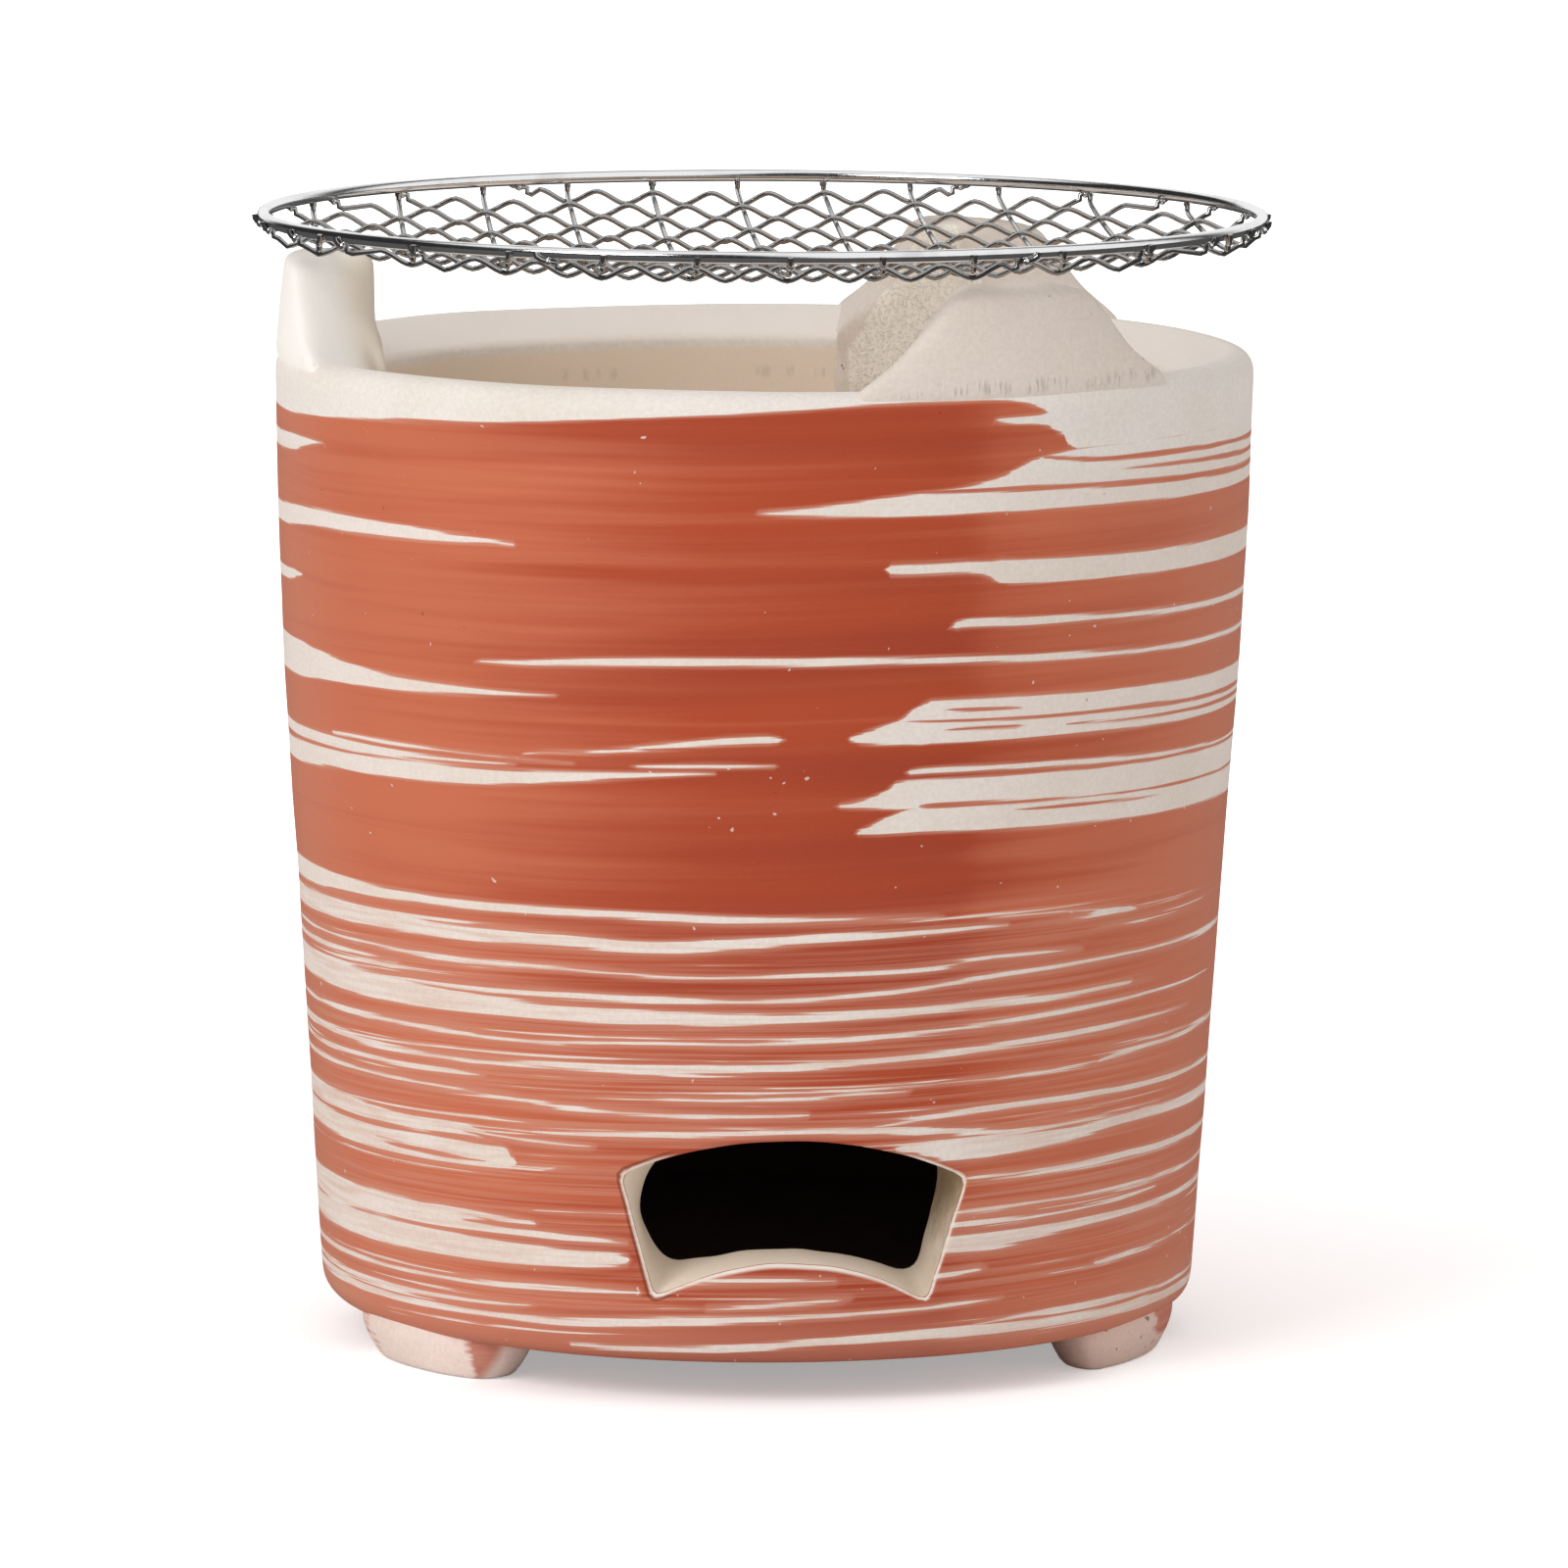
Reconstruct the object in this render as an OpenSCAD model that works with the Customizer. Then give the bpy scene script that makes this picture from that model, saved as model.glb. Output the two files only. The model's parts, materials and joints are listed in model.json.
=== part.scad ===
// Clay charcoal stove: a hand-finished clay body with an air door, three clay pot lugs and three
// clay feet luted to it, a loose fired grate inside and a loose round wire net on top.
// Millimetres. +Z is up, Z = 0 is the table, the stove's axis is the Z axis and the air door
// faces -Y. Turns about the axis are counted from the air door, towards +X.

/* [Clay body] */
// Diameter of the body at its rim
rim_d = 234; // [220:1:250]
// Diameter of the body just above its rounded bottom edge
base_d = 209; // [195:1:225]
// Height of the body from its underside to the crest of the rim
body_h = 227.5; // [200:0.5:260]
// Thickness of the wall
wall = 20.5; // [17:0.5:24]
// Thickness of the floor
floor_t = 13.5; // [10:0.5:18]
// Radius of the bottom outer edge
base_round = 6; // [3:0.5:9]
// Radius of the rim's outer edge
rim_round = 5; // [3:0.5:7]
// Radius of the rim's inner edge, at the mouth
mouth_round = 3; // [1.5:0.5:4]
// Fall of the rim from its crest in to the mouth
rim_fall = 7; // [4:0.5:9]
// How far the wall swells past a straight taper
shoulder = 1; // [0:0.1:2]

/* [Air door] */
// Width between the door's upper corners, on the outside
door_top_w = 80; // [66:1:90]
// Width between the door's lower corners, on the outside
door_bottom_w = 63; // [50:1:64]
// Height of the door's straight sides
door_h = 29; // [22:0.5:36]
// Rise of the door's two arched edges at the middle
door_rise = 9.4; // [6:0.2:12]
// Height of the door's lower corners above the floor inside
door_sill = 1.6; // [0.6:0.2:6]
// Angle by which each side narrows towards the inside
door_splay = 16; // [0:1:22]
// Lean of the hand-cut door, clockwise as seen from outside
door_tilt = 1.3; // [-2:0.1:2]

/* [Fire grate] */
// Height of the grate's ledge above the crown of the air door
ledge_above = 46; // [30:1:60]
// How far the ledge stands out of the wall
ledge_w = 11; // [8:0.5:15]
// Thickness of the ledge at its lip
ledge_t = 5; // [3:0.5:8]
// Thickness of the grate
grate_t = 13; // [9:0.5:16]
// Gap between the grate's edge and the wall
grate_gap = 2; // [1:0.5:3]
// Diameter of the holes in the grate
grate_hole_d = 11; // [7:0.5:13]
// Spacing of the rings of holes
grate_ring_step = 21.5; // [18:0.5:22]
// Chamfer round the grate's edges
grate_chamfer = 1.5; // [0.5:0.5:3]

/* [Pot lugs] */
// Height of the lugs above the crest of the rim
lug_h = 23; // [16:0.5:32]
// Width of a lug where it leaves the rim
lug_base_w = 78; // [64:1:90]
// Width of a lug across its flat top
lug_top_w = 40; // [26:1:46]
// Radius of the lug's upper corners
lug_round = 5; // [2:0.5:6]
// How far a lug's foot spreads over the rim
lug_flare = 3; // [1:0.5:6]
// Height of that spread foot
lug_flare_h = 4; // [2:0.5:6]
// Chamfer along the top edges of a lug
lug_chamfer = 2; // [0.5:0.5:3]
// How far a lug's outer face stands in from the widest part of the rim
lug_inset = 0.4; // [0.2:0.1:1.5]
// How far a lug's clay reaches down the inner wall
lug_skirt = 17; // [8:0.5:24]
// Thickness of that clay
lug_skirt_t = 1.8; // [1:0.1:3]
// Width of that clay
lug_skirt_w = 50; // [36:1:60]
// Turn of the first lug from the air door
lug_turn = 28; // [0:1:60]

/* [Feet] */
// Height of the feet under the body
foot_h = 9.5; // [6:0.5:16]
// Length of a foot along the wall
foot_l = 56; // [44:1:70]
// Width of a foot across the wall
foot_w = 24; // [18:1:28]
// Radius of a foot's lower edge
foot_round = 4.5; // [2:0.5:5]
// How far the feet stand in from the wall
foot_inset = 2; // [1:0.5:6]
// How far the feet's clay reaches up round the body's bottom edge
foot_lap = 3; // [1:0.5:5]
// Turn of the first foot from the air door
foot_turn = 60; // [45:1:75]

/* [Wire net] */
// Outside diameter of the net's ring
net_d = 240; // [228:1:260]
// Diameter of the ring's rod
rod_d = 3; // [2.4:0.1:4]
// Diameter of the net's wires
wire_d = 1.3; // [0.9:0.1:1.5]
// Distance from the outermost wires to the ring
edge_gap = 12.5; // [9:0.5:16]
// Depth at which the wires leave the ring, below its centre line
net_hang = 3.8; // [3.2:0.1:6]
// How far the net sags at its middle
net_sag = 5.5; // [0:0.5:8]
// Turn of the net on the stove
net_turn = -1.5; // [-30:0.5:30]

/* [Clearances] */
// Gap under a loose piece that rests on another
seat_gap = 0.3; // [0.1:0.05:0.5]
// Gap between two wires where they cross
wire_gap = 0.08; // [0.04:0.01:0.15]
// Gap between a wire's end and the ring that it is welded to
weld_gap = 0.05; // [0.02:0.01:0.1]

/* [Hidden] */
$fn = 96;
// Straight wires, and crimped wires, in the net
wire_n = 11;
// Half waves of a crimped wire from one straight wire to the next
waves = 3;
// Sides of a wire's section
wire_sides = 6;
// Points tried along a half wave to find what rests on the lugs
wave_steps = 7;
// Rings of holes round the grate's middle hole, and how many more holes each ring has
grate_rings = 3;
grate_more_holes = 6;
// Sides of the small round shapes
hole_sides = 32;
rod_sides = 48;
// Steps in the curves of the body's section
wall_steps = 12;
arc_steps = 4;
// Turn from one lug, or foot, to the next
third = 120;
// A length past every piece, for cutting
far = 400;
// How far a cut runs past a face
past = 1;

rim_z = foot_h + body_h;
floor_z = foot_h + floor_t;
wall_low_z = foot_h + base_round;
wall_high_z = rim_z - rim_round;
mouth_r = rim_d / 2 - wall;
rim_slope = atan(rim_fall / (wall - rim_round));

door_low_z = floor_z + door_sill;
door_high_z = door_low_z + door_h;
door_crown_z = door_high_z + door_rise;

ledge_z = door_crown_z + ledge_above;
ledge_r = inner_r(ledge_z) - ledge_w;
corbel_z = ledge_z - ledge_t - ledge_w;
grate_r = inner_r(ledge_z) - grate_gap;

lug_top_z = rim_z + lug_h;
lug_out_r = rim_d / 2 - lug_inset;
lug_in_r = mouth_r - lug_skirt_t;

foot_out_r = base_d / 2 - foot_inset;
foot_mid_r = foot_out_r - foot_w / 2;
foot_half_turn = (foot_l - foot_w) / 2 / foot_mid_r * 180 / PI;

ring_r = (net_d - rod_d) / 2;
pitch = 2 * (ring_r - edge_gap) / (wire_n - 1);
half_wave = pitch / waves;
// A crimped wire stands this far from its middle line, so that it clears the straight wires
wire_apart = wire_d + wire_gap;
crimp = wire_apart / sqrt(1 - pow(2 * wire_apart / half_wave, 2));
// The wires keep this far from the ring before they turn up to it
end_run = 2 * wire_d;
// The wire that comes lowest over a lug sets how high the net rests
ring_z = lug_top_z + seat_gap + max(concat([dish_depth(lug_in_r) + wire_d / 2], depths_on_lugs()));

lug_names = ["front", "back", "left"];
foot_names = ["right", "back", "left"];

// Points on an arc from one angle to another
function arc(centre, r, from, to, steps = arc_steps) =
    [for (i = [0:steps]) let (a = from + (to - from) * i / steps) centre + r * [cos(a), sin(a)]];

// Share of the way up the wall
function up_wall(z) = max(0, min(1, (z - wall_low_z) / (wall_high_z - wall_low_z)));

// Radius of the outer wall at a height: a straight taper with a soft shoulder
function outer_r(z) =
    let (t = up_wall(z))
    base_d / 2 + (rim_d - base_d) / 2 * t + shoulder * sin(180 * t * t);

// Radius of the inner wall at a height
function inner_r(z) = outer_r(z) - wall;

// The wall's outer line from the middle of the underside up to the crest of the rim
function outer_line() = concat(
    [[0, foot_h]],
    arc([base_d / 2 - base_round, foot_h + base_round], base_round, -90, 0),
    [for (i = [1:wall_steps - 1])
        let (z = wall_low_z + (wall_high_z - wall_low_z) * i / wall_steps) [outer_r(z), z]],
    arc([rim_d / 2 - rim_round, wall_high_z], rim_round, 0, 90 + rim_slope)
);

// Middle of the mouth's rounded edge, which the sloping rim runs into
function mouth_centre() =
    let (
        rim_end = [rim_d / 2 - rim_round, wall_high_z] + rim_round * [-sin(rim_slope), cos(rim_slope)],
        run = (rim_end.x + mouth_round * sin(rim_slope) - mouth_r - mouth_round) / cos(rim_slope)
    )
    rim_end - run * [cos(rim_slope), sin(rim_slope)] - mouth_round * [-sin(rim_slope), cos(rim_slope)];

// The inner line from the mouth down to the middle of the floor
function inner_line() =
    let (top = mouth_centre().y)
    concat(
        arc(mouth_centre(), mouth_round, 90 + rim_slope, 180),
        [for (i = [1:wall_steps / 2])
            let (z = top + (ledge_z - top) * i / (wall_steps / 2)) [inner_r(z), z]],
        [[ledge_r, ledge_z], [ledge_r, ledge_z - ledge_t], [inner_r(corbel_z), corbel_z]],
        arc([inner_r(floor_z) - base_round, floor_z + base_round], base_round, 0, -90),
        [[0, floor_z]]
    );

module body_section() {
    polygon(concat(outer_line(), inner_line()));
}

// A side of the air door: it leans outwards at the top and narrows towards the inside
module door_side() {
    lean = atan((door_top_w - door_bottom_w) / 2 / door_h);
    corner_x = door_bottom_w / 2;
    corner_y = sqrt(pow(outer_r(door_low_z), 2) - pow(corner_x, 2));
    translate([corner_x, -corner_y, door_low_z])
        rotate([0, 0, door_splay])
            rotate([0, lean, 0])
                translate([-far, -far / 2, -far / 2])
                    cube(far);
}

// The disc under an arched edge that passes over two corners at one height
module door_disc(w, corner_z) {
    disc_r = (pow(w / 2, 2) + pow(door_rise, 2)) / (2 * door_rise);
    translate([0, 0, corner_z + door_rise - disc_r])
        rotate([90, 0, 0])
            cylinder(r = disc_r, h = far / 2, $fn = 4 * $fn);
}

module door_cut() {
    reach = rim_d / 2 + past;
    depth = reach - ledge_r / 2;
    middle_z = (door_low_z + door_crown_z) / 2;
    translate([0, 0, middle_z])
        rotate([0, door_tilt, 0])
            translate([0, 0, -middle_z])
                intersection() {
                    difference() {
                        door_disc(door_top_w, door_high_z);
                        door_disc(door_bottom_w, door_low_z);
                    }
                    door_side();
                    mirror([1, 0, 0]) door_side();
                    translate([-far / 2, -reach, door_low_z])
                        cube([far, depth, far]);
                }
}

module stove_body() {
    color("#c0603f")
        difference() {
            rotate_extrude() body_section();
            door_cut();
        }
}

// Section of a lug through the wall: its top, its outer face and its skirt on the inner wall
module lug_section() {
    skirt_z = mouth_centre().y - lug_skirt;
    difference() {
        polygon([
            [lug_in_r, skirt_z],
            [lug_in_r, lug_top_z - lug_chamfer],
            [lug_in_r + lug_chamfer, lug_top_z],
            [lug_out_r - lug_chamfer, lug_top_z],
            [lug_out_r, lug_top_z - lug_chamfer],
            [lug_out_r, rim_z - rim_round],
            [mouth_r + mouth_round, skirt_z]
        ]);
        wall_side_of_skirt(skirt_z);
    }
}

// The part of the body that a lug's section is cut back to
module wall_side_of_skirt(skirt_z) {
    top = mouth_centre().y;
    polygon(concat(
        [for (i = [0:wall_steps / 2])
            let (z = skirt_z - past + (top - skirt_z + past) * i / (wall_steps / 2)) [inner_r(z), z]],
        arc(mouth_centre(), mouth_round, 180, 90 + rim_slope),
        arc([rim_d / 2 - rim_round, wall_high_z], rim_round, 90 + rim_slope, 0),
        [[rim_d / 2, skirt_z - past]]
    ));
}

// Half of a lug's outline seen from outside, from its skirt up to its flat top
function lug_half() =
    let (
        mouth_z = mouth_centre().y,
        foot_x = lug_base_w / 2,
        top_x = lug_top_w / 2,
        lean = atan2(lug_h - lug_flare_h, foot_x - top_x),
        trim = lug_round * tan(lean / 2)
    )
    concat(
        [[lug_skirt_w / 2, mouth_z - lug_skirt - past], [lug_skirt_w / 2, mouth_z]],
        [[foot_x + lug_flare, mouth_z + past], [foot_x + lug_flare, rim_z], [foot_x, rim_z + lug_flare_h]],
        arc([top_x - trim, lug_top_z - lug_round], lug_round, 90 - lean, 90)
    );

module lug_outline() {
    half = lug_half();
    count = len(half);
    polygon(concat(half, [for (i = [count - 1:-1:0]) [-half[i].x, half[i].y]]));
}

module pot_lug(turn) {
    color("#e9e1d2")
        rotate([0, 0, turn])
            intersection() {
                rotate([0, 0, -90 - third / 4])
                    rotate_extrude(angle = third / 2) lug_section();
                rotate([90, 0, 0])
                    linear_extrude(far) lug_outline();
            }
}

// Section of a foot across its length, with soft lower edges
module foot_section(half_w) {
    top = foot_h + foot_lap;
    polygon(concat(
        [[-half_w, top]],
        arc([foot_round - half_w, foot_round], foot_round, 180, 270),
        arc([half_w - foot_round, foot_round], foot_round, -90, 0),
        [[half_w, top]]
    ));
}

// Rounded end of a foot
module foot_end() {
    rotate_extrude()
        intersection() {
            foot_section(foot_w / 2);
            translate([0, -past]) square([foot_w, far]);
        }
}

module foot(turn) {
    color("#d8cbb8")
        rotate([0, 0, turn])
            difference() {
                union() {
                    rotate([0, 0, -90 - foot_half_turn])
                        rotate_extrude(angle = 2 * foot_half_turn)
                            translate([foot_mid_r, 0]) foot_section(foot_w / 2);
                    for (side = [-1, 1])
                        rotate([0, 0, side * foot_half_turn])
                            translate([0, -foot_mid_r, 0]) foot_end();
                }
                rotate_extrude() polygon(concat(outer_line(), [[0, rim_z]]));
            }
}

// The grate's disc stands on the ledge, with rings of holes for air and ash
module fire_grate() {
    color("#cdb9a0")
        translate([0, 0, ledge_z + seat_gap])
            difference() {
                rotate_extrude()
                    polygon([
                        [0, 0],
                        [grate_r - grate_chamfer, 0],
                        [grate_r, grate_chamfer],
                        [grate_r, grate_t - grate_chamfer],
                        [grate_r - grate_chamfer, grate_t],
                        [0, grate_t]
                    ]);
                for (ring = [0:grate_rings])
                    let (holes = max(1, grate_more_holes * ring))
                    for (hole = [0:holes - 1])
                        rotate([0, 0, hole * 360 / holes])
                            translate([ring * grate_ring_step, 0, -past])
                                cylinder(d = grate_hole_d, h = grate_t + 2 * past, $fn = hole_sides);
            }
}

module net_ring() {
    color("silver")
        translate([0, 0, ring_z])
            rotate_extrude(convexity = 4)
                translate([ring_r, 0]) circle(d = rod_d, $fn = rod_sides);
}

// Depth of the net's middle surface under the ring's centre line: a shallow dish
function dish_depth(r) = net_hang + net_sag * (1 - pow(r / ring_r, 2));
function dish_z(r) = ring_z - dish_depth(r);

// Places of the wires, counted from 1, on each side of the net's middle
function wire_place(i) = (i - (wire_n + 1) / 2) * pitch;

// Half the length of a wire that lies at a distance from the net's middle
function half_chord(place) = sqrt(pow(ring_r, 2) - pow(place, 2));

// Half waves that fit on each side of a crimped wire's middle
function last_wave(place) = floor((half_chord(place) - end_run) / half_wave);

// Which way a crimped wire bends at its nth half wave: 1 is up, -1 is down
function crimp_side(n, row) = (abs(n) + row) % 2 == 0 ? 1 : -1;

// Distance sideways from the middle of the nearest lug to a point of the net
function off_lug(x, y) =
    let (turn = atan2(x, -y) + net_turn - lug_turn)
    abs(norm([x, y]) * sin(turn - third * round(turn / third)));

// How far a lug's chamfered top lies under its flat top at a distance from the axis
function lug_drop(r) = max(0, lug_in_r + lug_chamfer - r, r - lug_out_r + lug_chamfer);

// Depths of the crimped wires' undersides where they pass over the lugs
function depths_on_lugs() =
    let (under = wire_d / 2 * norm([1, 2 * crimp / half_wave]))
    [for (row = [1:wire_n])
        let (place = wire_place(row), last = last_wave(place))
        for (n = [-last:last - 1], step = [0:wave_steps])
            let (
                share = step / wave_steps,
                x = (n + share) * half_wave,
                r = norm([x, place]),
                bend = crimp * (crimp_side(n, row) * (1 - share) + crimp_side(n + 1, row) * share)
            )
            if (off_lug(x, place) < lug_top_w / 2 && lug_drop(r) < lug_chamfer)
                dish_depth(r) - bend + under - lug_drop(r)];

// A wire's line: up to the ring at both ends, and through its own points in between
function wire_line(place, points) =
    let (
        end = half_chord(place),
        top = ring_z - rod_d / 2 - weld_gap,
        low = dish_z(ring_r)
    )
    concat([[-end, top], [-end, low]], points, [[end, low], [end, top]]);

function straight_points(place) =
    let (last = floor((half_chord(place) - end_run) / pitch))
    [for (n = [-last:last]) [n * pitch, dish_z(norm([n * pitch, place]))]];

function crimped_points(place, row) =
    [for (n = [-last_wave(place):last_wave(place)])
        [n * half_wave, dish_z(norm([n * half_wave, place])) + crimp_side(n, row) * crimp]];

function unit(v) = v / norm(v);

// Directions into and out of a point of a line, and the mitre between them
function way_in(line, i) = unit(line[max(i, 1)] - line[max(i, 1) - 1]);
function way_out(line, i) = unit(line[min(i + 1, len(line) - 1)] - line[min(i + 1, len(line) - 1) - 1]);

function wire_ring(line, i) =
    let (
        along = unit(way_in(line, i) + way_out(line, i)),
        across = [-along.y, along.x] / (along * way_in(line, i))
    )
    [for (k = [0:wire_sides - 1])
        let (
            a = 360 * k / wire_sides,
            p = line[i] + across * cos(a) * wire_d / 2
        )
        [p.x, sin(a) * wire_d / 2, p.y]];

// A bent wire of hexagonal section, along X, through the points of a line in the XZ plane
module bent_wire(line) {
    count = len(line);
    points = [for (i = [0:count - 1]) each wire_ring(line, i)];
    sides = [for (i = [0:count - 2], k = [0:wire_sides - 1])
        let (
            a = i * wire_sides + k,
            b = i * wire_sides + (k + 1) % wire_sides
        )
        each [[a, b, b + wire_sides], [a, b + wire_sides, a + wire_sides]]];
    last = (count - 1) * wire_sides;
    caps = [for (k = [1:wire_sides - 2]) each [[0, k + 1, k], [last, last + k, last + k + 1]]];
    polyhedron(points, concat(sides, caps), convexity = 8);
}

// Straight wires run from the air door's side to the back
module straight_wire(i) {
    place = wire_place(i);
    color("lightgray")
        rotate([0, 0, net_turn])
            translate([place, 0, 0])
                rotate([0, 0, 90])
                    bent_wire(wire_line(place, straight_points(place)));
}

// Crimped wires run from left to right, over and under the straight ones
module crimped_wire(i) {
    place = wire_place(i);
    color("gainsboro")
        rotate([0, 0, net_turn])
            translate([0, place, 0])
                bent_wire(wire_line(place, crimped_points(place, i)));
}

stove_body();
for (i = [0:2]) pot_lug(lug_turn + i * third);
for (i = [0:2]) foot(foot_turn + i * third);
fire_grate();
net_ring();
for (i = [1:wire_n]) straight_wire(i);
for (i = [1:wire_n]) crimped_wire(i);
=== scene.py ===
# %% [markdown]
# This lesson dresses a clay charcoal stove. The stove is already built to size as an assembly of
# solids, and that model is the frame of this scene: it is loaded first and never moved. Each visible
# piece is then either kept and given a finish, or modelled again with softer, hand-made shapes that
# lie where its solid lies.

# %% Load the frame
import json
import math
import bmesh
import bpy
from mathutils import Matrix, Vector, noise

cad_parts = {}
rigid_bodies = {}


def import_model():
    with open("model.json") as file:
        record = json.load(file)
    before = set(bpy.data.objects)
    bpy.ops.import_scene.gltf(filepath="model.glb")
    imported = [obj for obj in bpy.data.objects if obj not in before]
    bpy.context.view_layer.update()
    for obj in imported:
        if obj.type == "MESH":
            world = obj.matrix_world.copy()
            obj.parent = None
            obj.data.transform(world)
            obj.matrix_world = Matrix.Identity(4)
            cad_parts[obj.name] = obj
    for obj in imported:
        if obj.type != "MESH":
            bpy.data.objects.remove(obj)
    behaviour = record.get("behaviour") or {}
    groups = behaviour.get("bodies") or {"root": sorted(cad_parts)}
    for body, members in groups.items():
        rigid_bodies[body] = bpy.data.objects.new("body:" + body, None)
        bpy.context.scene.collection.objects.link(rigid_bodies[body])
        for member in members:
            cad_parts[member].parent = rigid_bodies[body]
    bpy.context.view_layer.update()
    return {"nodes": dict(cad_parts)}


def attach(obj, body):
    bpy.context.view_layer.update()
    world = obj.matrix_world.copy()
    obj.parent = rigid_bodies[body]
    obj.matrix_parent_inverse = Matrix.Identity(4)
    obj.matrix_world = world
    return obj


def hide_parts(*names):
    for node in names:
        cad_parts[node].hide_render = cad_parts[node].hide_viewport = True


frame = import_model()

def rounded(values, digits=4):
    """A short list for a printed line."""
    return [round(v, digits) for v in values]

# %% [markdown]
# The camera comes next, because every later piece is seen through it. The photograph was taken
# from a little over two and a half metres with a long lens, slightly above the rim and slightly to
# the left of the air door. A long lens keeps the round pot from bulging. The camera is built from
# three directions: backwards, to its right and upwards, with a small roll.

# %% Camera
TURN = math.radians(-4.671)
TILT = math.radians(7.639)
ROLL = math.radians(-0.256)
DISTANCE = 2.6826
LENS = 257.6
AIM_HEIGHT = 0.13169
AIM_RIGHT = 0.00562
back = Vector((math.sin(TURN) * math.cos(TILT), -math.cos(TURN) * math.cos(TILT), math.sin(TILT)))
level = Vector((math.cos(TURN), math.sin(TURN), 0.0))
up = back.cross(level)
right = level * math.cos(ROLL) - up * math.sin(ROLL)
above = level * math.sin(ROLL) + up * math.cos(ROLL)
looked_at = Vector((0.0, 0.0, AIM_HEIGHT)) + level * AIM_RIGHT
camera_data = bpy.data.cameras.new("camera")
camera_data.lens = LENS
camera_data.sensor_width = 36.0
camera_data.clip_end = 100.0
camera = bpy.data.objects.new("camera", camera_data)
place = Matrix((right, above, back)).transposed().to_4x4()
place.translation = looked_at + back * DISTANCE
camera.matrix_world = place
bpy.context.scene.collection.objects.link(camera)
bpy.context.scene.camera = camera
print("camera at", rounded(camera.location, 3), "with a", LENS, "mm lens")

# %% [markdown]
# The room's light and every finish are made of shader nodes. Written out one by one they hide what
# is meant, so a small class first lets a shader's value add, subtract and multiply as a number does:
# each sum makes its Math node. A few short functions make the other nodes and link them.

# %% Shader values that count like numbers
scene = bpy.context.scene

class Signal:
    """A value or colour of a shader. It adds, subtracts and multiplies by new Math nodes."""
    def __init__(self, tree, socket):
        self.tree = tree
        self.socket = socket

    def to(self, socket):
        self.tree.links.new(self.socket, socket)

    def by(self, operation, *others):
        return maths(self.tree, operation, self, *others)

    def __add__(self, other):
        return self.by("ADD", other)

    def __sub__(self, other):
        return self.by("SUBTRACT", other)

    def __rsub__(self, other):
        return maths(self.tree, "SUBTRACT", other, self)

    def __mul__(self, other):
        return self.by("MULTIPLY", other)

    def times_plus(self, factor, plus):
        return self.by("MULTIPLY_ADD", factor, plus)

    def most(self, other):
        return self.by("MAXIMUM", other)

    def least(self, other):
        return self.by("MINIMUM", other)

    def fade(self, low, high, out_low=0.0, out_high=1.0):
        """A smooth step: out_low where the value is under low, out_high where it is over high."""
        made = put(self.tree, "ShaderNodeMapRange", interpolation_type="SMOOTHSTEP")
        for socket, given in zip(made.inputs, (self, low, high, out_low, out_high)):
            feed(self.tree, socket, given)
        return Signal(self.tree, made.outputs[0])

    def blend(self, first, second):
        """The first colour where this value is 0, the second where it is 1."""
        made = put(self.tree, "ShaderNodeMix", data_type="RGBA")
        for number, given in ((0, self), (6, first), (7, second)):
            feed(self.tree, made.inputs[number], given)
        return Signal(self.tree, made.outputs[2])

    def noise(self, scale, detail=2.0, rough=0.5):
        """A Noise Texture at this place."""
        made = put(self.tree, "ShaderNodeTexNoise")
        for name, given in (("Vector", self), ("Scale", scale), ("Detail", detail), ("Roughness", rough)):
            feed(self.tree, made.inputs[name], given)
        return Signal(self.tree, made.outputs[0])

def put(tree, kind, **settings):
    """A new shader node with its settings."""
    made = tree.nodes.new(kind)
    for name, value in settings.items():
        setattr(made, name, value)
    return made

def feed(tree, socket, value):
    """Links a signal into a socket, or sets the socket to a number or a colour."""
    if isinstance(value, Signal):
        value.to(socket)
    else:
        socket.default_value = (*value, 1.0) if isinstance(value, tuple) else value

def maths(tree, operation, *inputs):
    """The result of a Math node."""
    made = put(tree, "ShaderNodeMath", operation=operation)
    for socket, value in zip(made.inputs, inputs):
        feed(tree, socket, value)
    return Signal(tree, made.outputs[0])

def outputs_of(tree, kind, **settings):
    """The outputs of a new node, by name."""
    return {socket.name: Signal(tree, socket) for socket in put(tree, kind, **settings).outputs}

def axes_of(tree, place="Object"):
    """The x, y and z of the place that is shaded, or of the heading of a ray in the room."""
    apart = put(tree, "ShaderNodeSeparateXYZ")
    outputs_of(tree, "ShaderNodeTexCoord")[place].to(apart.inputs[0])
    return [Signal(tree, socket) for socket in apart.outputs]

print("a shader value can:", [name for name in vars(Signal) if not name.startswith("_")])

# %% [markdown]
# The light is a plain soft studio: an even pale room, and one large lamp high on the left in front.
# The left of the pot is then a little brighter than the right, as in the photograph. The camera sees
# a white room. Reflections see the white backdrop, the ceiling and a bright screen on the right,
# and on the left and below the dark of the studio's other half: that is what draws the dark lines
# on bright metal.

# %% The room and the lamp
scene.view_settings.view_transform = "Standard"
ROOM_LIGHT = 0.85
MIRRORED_DARK = 0.03
MIRRORED_BRIGHT = 1.15
LAMP_POWER = 30.0
LAMP_COLOUR = (0.965, 0.98, 1.0)
LAMP_PLACE = (-1.75, -1.75, 1.75)
LAMP_SIZE = 1.5
STOVE_MIDDLE = Vector((0.0, 0.0, 0.13))

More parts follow.
